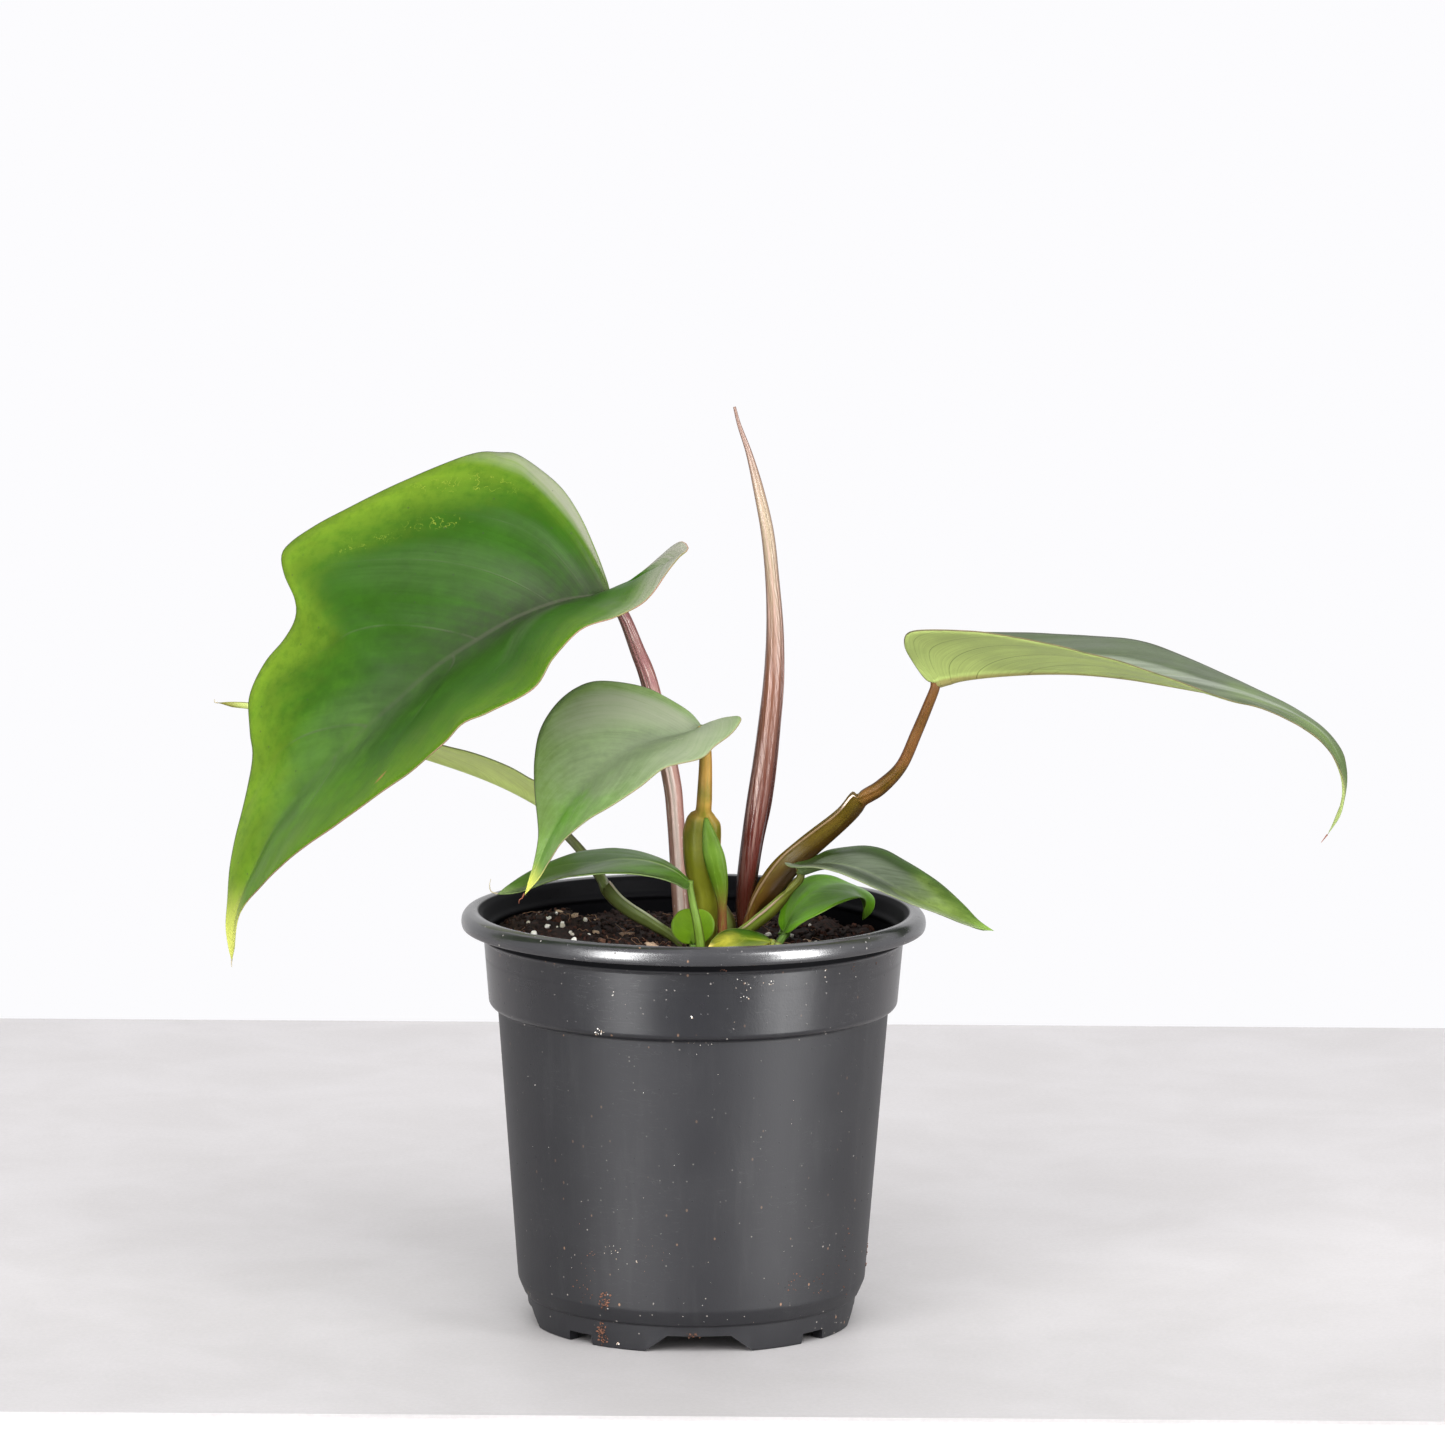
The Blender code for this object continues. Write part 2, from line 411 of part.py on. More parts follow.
def stalk_mesh(name, stalk, steps=SECTION_STEPS, grow=0.0):
    """Loft a stalk through its stations. The grown one is the hole that it stands in."""
    rows = smooth_rows(stalk["stations"], stalk["rings"])
    slopes = np.gradient(rows[:, :3], axis=0)
    points = []
    for row, slope in zip(rows, slopes):
        along = unit(slope)
        inward = np.array(stalk["inner"], float)
        inward = unit(inward - inward.dot(along) * along)
        across = np.cross(along, inward)
        for a, b in section(row[3] + grow, row[4] + grow, row[5] + grow, steps):
            points.append(row[:3] + a * across + b * inward)
    around = 2 * (steps + 1)
    points[:around] = [point - grow * unit(slopes[0]) for point in points[:around]]
    points[-around:] = [point + grow * unit(slopes[-1]) for point in points[-around:]]
    faces = []
    for ring in range(len(rows) - 1):
        for step in range(around):
            a = ring * around + step
            b = ring * around + (step + 1) % around
            faces.append([a, b, b + around, a + around])
    top = (len(rows) - 1) * around
    for step in range(steps):
        a, b = step, step + 1
        c, d = around - 2 - step, around - 1 - step
        faces.append([d, c, b, a])
        faces.append([top + a, top + b, top + c, top + d])
    return mesh_from(name, points, faces)


def triangulate(mesh):
    """Split a mesh's faces into triangles and turn them all outwards."""
    work = bmesh.new()
    work.from_mesh(mesh)
    bmesh.ops.triangulate(work, faces=work.faces)
    bmesh.ops.recalc_face_normals(work, faces=work.faces)
    work.to_mesh(mesh)
    work.free()


def add_stalk(name, stalk, collection):
    mesh = stalk_mesh(name, stalk)
    triangulate(mesh)
    obj = add_object(name, mesh, collection)
    obj.data.shade_smooth()
    return obj


def pot_inside():
    """Return the inner half section, from the middle of the floor up to the ridge under the lip."""
    floor = BASE_UNDERSIDE + WALL
    return [
        (0.0, floor), (FOOT_RADIUS + 0.6, floor), (BODY_FOOT_RADIUS - WALL, 11.5),
        (BODY_TOP_RADIUS - WALL, COLLAR_HEIGHT), (COLLAR_FOOT_RADIUS - WALL, COLLAR_HEIGHT + 1.4),
        (COLLAR_TOP_RADIUS - WALL, 97.0), (50.2, 97.5), (50.3, 98.3), (51.2, 98.9),
    ]


def pot_profile():
    """Return the pot's half section: up its inside, over the rolled lip and down its outside."""
    lip = [
        (52.2, 101.7), (53.3, 102.7), (54.8, POT_HEIGHT), (56.4, 102.5), (57.3, 101.3), (LIP_RADIUS, 99.9),
        (57.2, 98.5), (56.1, 98.5), (56.2, 100.1), (54.9, 101.6), (53.4, 100.8), (52.8, 98.4),
    ]
    outside = [
        (52.5, 96.1), (COLLAR_TOP_RADIUS, 95.7), (COLLAR_FOOT_RADIUS, COLLAR_HEIGHT + 0.9),
        (COLLAR_FOOT_RADIUS - 0.7, COLLAR_HEIGHT), (BODY_TOP_RADIUS, COLLAR_HEIGHT - 0.5),
        (BODY_FOOT_RADIUS, 10.8), (FOOT_RADIUS + 1.4, FOOT_HEIGHT), (FOOT_RADIUS, 0.0),
        (FOOT_INNER_RADIUS, 0.0), (FOOT_INNER_RADIUS + 0.6, BASE_UNDERSIDE), (0.0, BASE_UNDERSIDE),
    ]
    return pot_inside() + lip + outside


def turned(name, profile, collection):
    """Turn a profile of (radius, height) pairs about Z into a closed solid."""
    points = [(radius, 0.0, height) for radius, height in profile]
    mesh = bpy.data.meshes.new(name)
    mesh.from_pydata([tuple(value * MM for value in point) for point in points],
                     [(i, i + 1) for i in range(len(points) - 1)], [])
    obj = add_object(name, mesh, collection)
    screw = obj.modifiers.new("turn", "SCREW")
    screw.steps = POT_STEPS
    screw.render_steps = POT_STEPS
    screw.use_merge_vertices = True
    screw.merge_threshold = 0.00001
    screw.use_smooth_shade = True
    return obj


def add_cutter(name, mesh, collection):
    obj = add_object(name, mesh, collection)
    obj.display_type = "WIRE"
    obj.hide_render = True
    return obj


def notch_mesh(name, notch):
    """Return a trapezoid bar that points along -Y, from inside the foot to outside it."""
    low, high, top = notch["bottom"] / 2, notch["top"] / 2, notch["height"]
    outline = [(-low, -1.0), (low, -1.0), (low, 0.0), (high, top), (-high, top), (-low, 0.0)]
    count = len(outline)
    points = [(x, -radius, z) for radius in (NOTCH_FROM_RADIUS, NOTCH_TO_RADIUS) for x, z in outline]
    faces = [[i, (i + 1) % count, (i + 1) % count + count, i + count] for i in range(count)]
    faces += [list(range(count - 1, -1, -1)), list(range(count, 2 * count))]
    mesh = mesh_from(name, points, faces)
    triangulate(mesh)
    return mesh


def drain_mesh(name):
    mesh = bpy.data.meshes.new(name)
    work = bmesh.new()
    bmesh.ops.create_cone(work, cap_ends=True, segments=12, radius1=DRAIN_RADIUS * MM,
                          radius2=DRAIN_RADIUS * MM, depth=2 * WALL * MM)
    work.to_mesh(mesh)
    work.free()
    return mesh


def add_pot(collection, cutters):
    """Turn the pot, then cut the notches of its foot and its drain holes."""
    pot = turned("pot", pot_profile(), collection)
    own_cutters = bpy.data.collections.new("pot_cutters")
    cutters.children.link(own_cutters)
    for quarter in range(4):
        turn = NOTCH_START + quarter * math.pi / 2
        for label, notch in (("wide", WIDE_NOTCH), ("narrow", NARROW_NOTCH)):
            name = f"{label}_notch_{quarter}"
            cutter = add_cutter(name, notch_mesh(name, notch), own_cutters)
            cutter.rotation_euler.z = turn + notch["turn"]
        drain = add_cutter(f"drain_{quarter}", drain_mesh(f"drain_{quarter}"), own_cutters)
        height = BASE_UNDERSIDE + WALL / 2
        place = Vector((DRAIN_CIRCLE * math.sin(turn), -DRAIN_CIRCLE * math.cos(turn), height))
        drain.location = place * MM
    cut = pot.modifiers.new("cut", "BOOLEAN")
    cut.operation = "DIFFERENCE"
    cut.operand_type = "COLLECTION"
    cut.collection = own_cutters
    cut.solver = "EXACT"
    return pot


def soil_height(x, y):
    """The soil's uneven surface, with the mound on its left."""
    away = ((x - MOUND["x"]) ** 2 + (y - MOUND["y"]) ** 2) / (2 * MOUND["spread"] ** 2)
    ripple = 0.5 * math.sin(0.31 * x + 1.0) * math.cos(0.27 * y) + 0.3 * math.sin(0.7 * x - 0.5 * y)
    return SOIL_LEVEL + MOUND["height"] * math.exp(-away) + ripple


def soil_mesh():
    """Fill the pot's inside, a clearance from its wall, up to the uneven surface."""
    floor = BASE_UNDERSIDE + WALL
    wall = pot_inside()[1:5]
    rings = [(wall[0][0] * FLOOR_RING_SHARE, floor + CLEARANCE), (wall[0][0] - SOIL_TAPER, floor + CLEARANCE)]
    rings += [(radius - CLEARANCE, height + CLEARANCE / 2) for radius, height in wall[1:]]
    top_radius = COLLAR_TOP_RADIUS - WALL - CLEARANCE - SOIL_TAPER
    turns = [2 * math.pi * step / POT_STEPS for step in range(POT_STEPS)]
    points = [(0.0, 0.0, floor + CLEARANCE)]
    for radius, height in rings:
        points += [(radius * math.cos(turn), radius * math.sin(turn), height) for turn in turns]
    for ring in range(SOIL_RINGS):
        radius = top_radius * (1 - ring / SOIL_RINGS)
        for turn in turns:
            x, y = radius * math.cos(turn), radius * math.sin(turn)
            points.append((x, y, soil_height(x, y)))
    points.append((0.0, 0.0, soil_height(0.0, 0.0)))
    ring_count = len(rings) + SOIL_RINGS
    faces = []
    for step in range(POT_STEPS):
        after = (step + 1) % POT_STEPS
        faces.append([0, 1 + after, 1 + step])
        for ring in range(ring_count - 1):
            low, high = 1 + ring * POT_STEPS, 1 + (ring + 1) * POT_STEPS
            faces.append([low + step, low + after, high + after, high + step])
        last = 1 + (ring_count - 1) * POT_STEPS
        faces.append([last + step, last + after, len(points) - 1])
    mesh = mesh_from("soil", points, faces)
    triangulate(mesh)
    return mesh


def grain_places(count, draw):
    """Draw places for grains on the soil that keep clear of the stems and the pot's wall."""
    roots = [stalk["stations"][0][:2] for stalk in STALKS.values()]
    places = []
    while len(places) < count:
        radius = GRAIN_REACH * math.sqrt(draw.random())
        turn = draw.uniform(0.0, 2 * math.pi)
        x, y = radius * math.cos(turn), radius * math.sin(turn)
        free = all(math.dist((x, y), other) > GRAIN_FREE_ROUND_STEMS for other in roots)
        apart = all(math.dist((x, y), other) > GRAIN_FREE_ROUND_STEMS for other in places)
        if free and apart:
            places.append((x, y))
    return places


def add_grain(name, place, size, draw, collection):
    """Add a lumpy grain, sunk into the soil by more than a third."""
    mesh = bpy.data.meshes.new(name)
    work = bmesh.new()
    bmesh.ops.create_icosphere(work, subdivisions=1, radius=1.0)
    for vertex in work.verts:
        vertex.co *= draw.uniform(0.85, 1.15)
        vertex.co = Vector((vertex.co.x * size[0], vertex.co.y * size[1], vertex.co.z * size[2])) * MM
    work.to_mesh(mesh)
    work.free()
    grain = add_object(name, mesh, collection)
    x, y = place
    grain.location = Vector((x, y, soil_height(x, y) + 0.25 * size[2])) * MM
    grain.rotation_euler.z = draw.uniform(0.0, 2 * math.pi)


def add_soil(collection, helpers):
    """Make the soil, join its perlite and bark to it, and open a hole for each stem."""
    soil = add_object("soil", soil_mesh(), collection)
    grains = bpy.data.collections.new("grains")
    helpers.children.link(grains)
    draw = random.Random(GRAIN_SEED)
    places = grain_places(PERLITE_COUNT + BARK_COUNT, draw)
    for number, place in enumerate(places):
        is_bark = number >= PERLITE_COUNT
        scale = draw.uniform(0.8, 1.25)
        size = (3.2 * scale, 2.0 * scale, 1.5) if is_bark else (1.3 * scale, 1.2 * scale, 1.1 * scale)
        add_grain(f"grain_{number}", place, size, draw, grains)
    holes = bpy.data.collections.new("stem_holes")
    helpers.children.link(holes)
    for name, stalk in STALKS.items():
        mesh = stalk_mesh(name + "_hole", stalk, grow=CLEARANCE)
        triangulate(mesh)
        add_cutter(name + "_hole", mesh, holes)
    for group, operation in ((grains, "UNION"), (holes, "DIFFERENCE")):
        change = soil.modifiers.new(group.name, "BOOLEAN")
        change.operation = operation
        change.operand_type = "COLLECTION"
        change.collection = group
        change.solver = "EXACT"
        apply_modifiers(soil)
        for obj in list(group.objects):
            bpy.data.objects.remove(obj, do_unlink=True)
    soil.data.shade_smooth()
    return soil


def centre_on_origin(collection):
    """Hang every piece on one empty, with the middle of the whole box over the origin."""
    graph = bpy.context.evaluated_depsgraph_get()
    corners = []
    for obj in collection.objects:
        seen = obj.evaluated_get(graph)
        mesh = seen.to_mesh()
        corners += [seen.matrix_world @ vertex.co for vertex in mesh.vertices]
        seen.to_mesh_clear()
    frame = bpy.data.objects.new("plant_frame", None)
    pieces = list(collection.objects)
    collection.objects.link(frame)
    for axis in (0, 1):
        values = [corner[axis] for corner in corners]
        frame.location[axis] = -(min(values) + max(values)) / 2
    for obj in pieces:
        obj.parent = frame
    return frame


def main():
    clear_scene()
    plant = new_collection("potted_plant")
    cutters = new_collection("cutters")
    add_pot(plant, cutters)
    add_soil(plant, cutters)
    for name, leaf in LEAVES.items():
        add_blade(name + "_blade", leaf, plant)
    for name, stalk in STALKS.items():
        add_stalk(name, stalk, plant)
    for obj in plant.objects:
        obj.data.materials.clear()
        obj.data.materials.append(finish(NODE_FINISH[obj.name]))
    frame = centre_on_origin(plant)
    for obj in cutters.all_objects:
        obj.parent = frame


main()
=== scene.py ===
"""Looks for the potted plant: fine leaves, stalks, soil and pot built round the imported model.

Every size and place is in millimetres from the pot's own axis (x = y = 0) and from the surface
that the pot stands on (z = 0), as in the part's source. to_frame() turns them into the frame's
metres. Node trees work in the frame's metres too.
"""
import json
import math
import random

import bmesh
import bpy
import numpy as np
from mathutils import Matrix, Vector, noise

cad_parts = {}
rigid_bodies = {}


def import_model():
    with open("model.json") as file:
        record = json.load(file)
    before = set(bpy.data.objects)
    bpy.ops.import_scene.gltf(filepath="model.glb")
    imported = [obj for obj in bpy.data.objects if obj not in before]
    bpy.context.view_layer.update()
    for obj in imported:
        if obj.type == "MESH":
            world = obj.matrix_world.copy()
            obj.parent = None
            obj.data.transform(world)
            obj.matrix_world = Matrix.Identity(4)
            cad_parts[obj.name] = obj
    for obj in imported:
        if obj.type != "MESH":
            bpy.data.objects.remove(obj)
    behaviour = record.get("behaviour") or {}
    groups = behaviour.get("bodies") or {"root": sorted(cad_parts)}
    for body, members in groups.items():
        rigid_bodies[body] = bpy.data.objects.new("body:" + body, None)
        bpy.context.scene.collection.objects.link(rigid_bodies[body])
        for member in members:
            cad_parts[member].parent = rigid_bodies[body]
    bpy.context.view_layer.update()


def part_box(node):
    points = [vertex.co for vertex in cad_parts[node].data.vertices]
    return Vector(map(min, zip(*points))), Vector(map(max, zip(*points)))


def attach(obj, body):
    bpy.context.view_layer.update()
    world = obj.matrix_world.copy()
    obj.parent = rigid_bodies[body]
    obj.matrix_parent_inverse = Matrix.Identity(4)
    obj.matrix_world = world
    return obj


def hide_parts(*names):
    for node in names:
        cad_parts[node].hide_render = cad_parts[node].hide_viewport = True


MM = 0.001

# A curve through given points gets this many steps from each point to the next
FINE_STEPS = 16

# A direction that no tube runs along
NO_PATH = (0.31, 0.53, 0.79)

# Points closer than this many metres are one point, and edges sharper than this angle look sharp
WELD_DISTANCE = 1e-7
SHARP_ANGLE = math.radians(40.0)

# The photograph's camera, seen from the pot's axis
CAMERA_PLACE = (6.8, -1586.0, 371.0)
CAMERA_PITCH = math.radians(7.95)
CAMERA_ROLL = math.radians(0.39)
PHOTO_PIXELS = 1445.0
FOCAL_PIXELS = 6500.0
SENSOR_WIDTH = 36.0

# Softboxes: turn from the camera's side (left is negative), height angle, distance, width, height, watts
SOFTBOXES = {
    "left_softbox": (-37.0, 16.0, 1300.0, 460.0, 1500.0, 14.0),
    "right_softbox": (53.0, 16.0, 1300.0, 460.0, 1500.0, 17.0),
}
# Strip lights of the same kind that are only seen in highlights, and a fill light that isn't
HIGHLIGHTS = {
    "left_highlight": (-37.0, 16.0, 1290.0, 460.0, 1500.0, 26.0),
    "right_highlight": (53.0, 16.0, 1290.0, 460.0, 1500.0, 32.0),
    "left_low_highlight": (-37.0, -16.0, 1290.0, 460.0, 640.0, 2.3),
    "right_low_highlight": (53.0, -16.0, 1290.0, 640.0, 640.0, 4.2),
}
FRONT_FILL = (0.0, 42.0, 1800.0, 1300.0, 1200.0, 30.0)
LIT_MIDDLE = (0.0, 0.0, 110.0)

# The backdrop is white to the eye. As light it is bright behind and above, dim on the camera's side.
BACKDROP_COLOUR = (0.975, 0.972, 0.99)
BACKDROP_SEEN = 1.0
BACKDROP_LIGHT = 1.12
ROOM_LIGHT = 0.85
BRIGHT_SIDE = (0.2, 0.5, 0.84)
BRIGHT_FULL = 0.9

# The table: a pale slab whose front edge is just in view
TABLE_FRONT = -104.5
TABLE_BACK = 398.0
TABLE_HALF_WIDTH = 450.0
TABLE_THICKNESS = 40.0
TABLE_BEVEL = 1.5

# The pot, as in the part's source, with rounded corners and finer steps
POT_HEIGHT = 103.0
LIP_RADIUS = 57.5
COLLAR_TOP_RADIUS = 51.9
COLLAR_FOOT_RADIUS = 50.6
COLLAR_HEIGHT = 79.2
BODY_TOP_RADIUS = 48.4
BODY_FOOT_RADIUS = 43.2
FOOT_RADIUS = 40.2
FOOT_INNER_RADIUS = 37.2
FOOT_STEP = 0.6
FOOT_HEIGHT = 7.0
BASE_UNDERSIDE = 5.0
WALL = 1.2
POT_STEPS = 192
CORNER_RADIUS = 0.5
CORNER_SHARE = 0.46
CORNER_STEPS = 4
NOTCH_START = math.radians(3.0)
NOTCHES = {
    "wide": {"bottom": 26.7, "top": 15.5, "height": 4.3, "turn": 0.0},
    "narrow": {"bottom": 7.6, "top": 7.2, "height": 2.6, "turn": math.radians(45.0)},
}
NOTCH_FROM_RADIUS = 33.0
NOTCH_TO_RADIUS = 44.0
DRAIN_RADIUS = 3.2
DRAIN_CIRCLE = 29.0

# The pot's plastic, its dust and scratches, and the heights where the worn body meets the collar
POT_COLOUR = (0.006, 0.006, 0.0085)
POT_FILM = (0.011, 0.011, 0.0135)
POT_RUNS = (0.026, 0.026, 0.028)
# Painted shade: a near-black colour on the pot's inner faces
POT_INSIDE_SHADE = (0.003, 0.003, 0.004)
PALE_SPECK = (0.42, 0.38, 0.34)
TAN_SPECK = (0.30, 0.17, 0.10)
SCRATCH_COLOUR = (0.30, 0.30, 0.30)
COLLAR_BLEND = (77.5, 80.0)

# The soil: its surface as in the part's source, and what lies on it
SOIL_LEVEL = 94.0
MOUND = {"x": -36.0, "y": 11.0, "height": 5.6, "spread": 9.5}
CLEARANCE = 0.3
SOIL_TAPER = 0.5
SOIL_RINGS = 70
SOIL_STEPS = 300
CRUMB_COUNT = 2300
CRUMB_REACH = 48.6
LARGE_CRUMB = 1.6
LARGE_CRUMB_CHANCE = 0.12
FIBRE_COUNT = 90
FIBRE_REACH = 44.0
FIBRE_RADIUS = 0.09
FIBRE_RINGS = 16
SEED = 11

# The grains seen in the photograph, x, y and half length, with their shape and how far their middles
# stand above the soil. The loose ones lie at random places within a reach of the axis.
PERLITE = {
    "spots": [(-38.6, 9.0, 0.6), (-35.8, 7.5, 0.5), (-34.2, 9.5, 0.45), (-36.2, 2.0, 0.8),
              (-39.5, -1.0, 0.9), (-32.6, 5.0, 0.5), (-41.0, 4.0, 0.5), (-29.4, -5.0, 0.9),
              (-30.5, 1.0, 0.45), (-27.0, 8.0, 0.6), (18.6, 12.0, 0.9), (17.2, 6.0, 1.0),
              (16.0, 9.0, 0.6), (39.0, 6.0, 0.8)],
    "shape": (1.0, 0.85, 0.8), "lift": 0.35,
    "loose": 70, "reach": 47.5, "loose_shape": (1.0, 0.9, 0.8), "loose_halves": (0.22, 0.75)}
BARK = {
    "spots": [(-24.3, 4.0, 1.5), (-16.7, 6.0, 2.0), (-22.7, -2.0, 1.8), (-10.2, -7.0, 2.4),
              (-6.8, 10.0, 1.8)],
    "shape": (1.0, 0.55, 0.35), "lift": 0.4,
    "loose": 26, "reach": 46.0, "loose_shape": (1.0, 0.45, 0.3), "loose_halves": (0.6, 1.6)}

# Crumbs stuck to the pot's wall: turn from the front (left is negative), height and how many,
# with the spread of each cluster and the size of its crumbs
WALL_CRUMBS = [
    (-29.2, 11.6, 36, 1.0, 1.5, 0.32), (-32.0, 3.2, 44, 1.0, 1.3, 0.34), (1.2, 4.6, 16, 1.6, 0.4, 0.30),
    (-37.0, 14.5, 16, 2.2, 2.6, 0.18), (-34.0, 20.0, 14, 1.6, 4.0, 0.17), (36.0, 16.0, 12, 3.0, 1.6, 0.18),
    (46.5, 16.0, 12, 2.2, 2.6, 0.18), (60.0, 20.0, 14, 3.0, 6.0, 0.17), (85.0, 17.0, 10, 1.2, 1.6, 0.3),
    (8.3, 96.9, 9, 0.8, 0.3, 0.22), (-13.0, 27.0, 12, 2.2, 2.2, 0.13), (52.0, 95.0, 10, 6.0, 1.2, 0.18),
]
WALL_DUST = [
    (-26.9, 80.1, 12, 0.9, 0.5, 0.24), (-21.8, 89.4, 2, 0.1, 0.8, 0.22), (-17.2, 23.1, 2, 0.1, 0.2, 0.36),
    (14.2, 90.0, 4, 0.9, 0.3, 0.22), (21.7, 93.4, 7, 0.9, 0.6, 0.17), (38.1, 94.3, 3, 0.4, 0.6, 0.32),
    (14.1, 93.0, 8, 2.2, 0.9, 0.15), (-0.3, 85.2, 3, 0.2, 0.2, 0.26), (-25.9, 1.2, 3, 0.3, 0.3, 0.34),
    (3.0, 78.4, 8, 3.0, 0.4, 0.13), (-25.0, 25.5, 10, 2.0, 1.2, 0.15), (8.0, 97.6, 6, 6.0, 0.6, 0.13),
]
LOOSE_DUST = 130

# Leaves are thin, with a rib under the midrib. They thin out at the margin and at the tip.
BLADE_THICKNESS = 0.5
RIB_THICKNESS = 1.6
RIB_HALF_WIDTH = 1.0
RIB_FADE = 0.7
EDGE_SHARE = 0.5
EDGE_REACH = 3.0
TIP_WIDTH = 1.6
TIP_SHARE = 0.12

# A blade's rows are its veins, which sweep towards the tip. Its columns crowd at the midrib, where
# the fold is sharp at the base and rounder from there on.
VEIN_SWEEP = 1.7
VEIN_LEAN = 1.5
SIDE_SHIFT = 0.03
LOBE_SHARE = 0.3
COLUMN_CROWDING = 1.6
FOLD_START = 0.12
FOLD_REACH = 0.45

# The upper face has a groove along the midrib, pillows between its side veins and slow waves
GROOVE_DEPTH = 0.35
GROOVE_HALF_WIDTH = 0.7
BROAD_WAVE = 22.0
FINE_WAVE = 9.0
END_FADE = 0.06

# Each leaf's midrib runs from the petiole to the tip. Its left and right margins are as seen
# from above with the tip pointing away, and leave out the two ends, which the midrib gives.
LARGE_LEAF = {
    "midrib": [(-21, 0, 181.7), (-34, -2, 178.6), (-51.5, -4, 169), (-72.5, -6, 153), (-97, -6, 130.5),
               (-108, -6, 112.5), (-112.6, -5.2, 101), (-114, -4, 89.5)],
    "left": [(-16.8, -6, 183.9), (-13.1, -12, 188), (-9.4, -18, 191.7), (-5.7, -23, 195.7),
             (-3.3, -27, 197.4), (-1.9, -29, 196), (-3.7, -31, 194.5), (-6.8, -34, 190.3),
             (-10.3, -38, 185.7), (-13.8, -42, 183), (-19.3, -46, 180.9), (-27, -49.5, 178.6),
             (-33.6, -52, 172),
             (-38.3, -53, 164.7), (-48.5, -54, 159.3), (-55, -53.5, 156.4), (-59.8, -52, 151.4),
             (-71.6, -46, 141), (-82.7, -40, 131.8), (-94.1, -32, 122.6), (-103.2, -23, 113.7),
             (-111, -13, 104.3), (-113, -8.5, 96.8)],
    "right": [(-22.1, 2, 185.2), (-27, 9, 196.7), (-33.9, 17, 206), (-43.8, 24, 212.7), (-49.1, 26, 213.5),
              (-56.3, 27.5, 212.7), (-73.2, 30, 205.9), (-89.2, 30.5, 197.7), (-96.4, 30, 193.7),
              (-101.6, 29.5, 190), (-103.6, 27.5, 187), (-102.6, 24, 182.3), (-99.7, 19, 176.9),
              (-99.7, 18, 172.3), (-102.7, 19, 166.8), (-107.5, 19, 161), (-111.2, 16.5, 152.5),
              (-110.6, 12, 144.5), (-109.8, 10, 139.2), (-111, 8, 131.5), (-114.4, 3, 115.5),
              (-115.6, -2, 100.9), (-115, -4, 94)],
    "left_lobe_bow": (1.0, -5.0, -3.2), "bulge": 4.0,
    "rows": 170, "columns": 26, "veins": 8, "pillow": 0.35, "wave": 0.5,
}
FRONT_LEAF = {
    "midrib": [(2, -6, 149.2), (-3.6, -8, 147.5), (-11, -11, 145.6), (-19.5, -15, 141.7), (-28, -20, 134.2),
               (-34.5, -25, 125), (-41, -30, 111)],
    "left": [(6.2, -10, 151.6), (9.8, -14, 153.2), (11.3, -17, 152.8), (9, -21, 150), (5, -26, 147.4),
             (1.4, -30, 144.8), (-7, -35, 143.2), (-13, -37, 138.9), (-20, -38, 134.2), (-26, -37, 130.4),
             (-31.7, -35, 125), (-34.9, -32.6, 119.8), (-37.2, -31.4, 115.6), (-39.6, -30.6, 112.8)],
    "right": [(-1.2, -4, 152.6), (-7.4, -1, 156), (-13.6, 1.5, 158.3), (-23.5, 3, 159.3), (-29.6, 2, 157.5),
              (-34.5, -1, 153.7), (-38, -7, 148.3), (-39.2, -13, 141.8), (-39, -18, 135),
              (-38.2, -22, 128.3), (-38, -25, 124), (-39, -28, 118)],
    "bulge": 2.0, "rows": 120, "columns": 20, "veins": 7, "pillow": 0.15, "wave": 0.3,
}
RIGHT_LEAF = {
    "midrib": [(59, -3, 160.6), (66, -3, 161.9), (86, -3, 162.5), (102, -4, 161.7), (118, -5, 159.7),
               (133.5, -7, 157.4), (144.5, -8, 154), (151.2, -9, 150.4), (156, -9, 145),
               (159.1, -9, 138), (159, -9, 131.6), (155.4, -9, 123.7)],
    "left": [(56.7, 6, 161.6), (54.5, 14, 164.8), (57, 20, 167.6), (63.5, 24, 169), (73.7, 25, 169.3),
             (87, 26, 169), (98, 25, 168.7), (110, 24, 167.7), (119.5, 21, 165), (130, 16, 161),
             (143.4, 7, 155.8), (153.4, -1, 150.5), (158.6, -5, 145.2), (160.2, -7, 140.5),
             (160.2, -8, 135), (158.8, -9, 129)],
    "right": [(56.7, -5, 161), (52.8, -11, 166.8), (50.8, -18, 171.8), (52.3, -23, 175.4),
              (60.5, -26, 176.3),
              (71.5, -28, 175.7), (84.5, -29, 173.7), (95.2, -28, 171.2), (105.8, -26, 168),
              (121.6, -20, 161.8), (131.4, -16, 157.9), (138.8, -15, 155.9), (149.4, -13, 150.6),
              (156, -11, 144.4), (159.4, -10.5, 137), (159, -10, 129.8)],
    "bulge": 1.5, "rows": 150, "columns": 20, "veins": 9, "pillow": 0.2, "wave": 0.3,
}
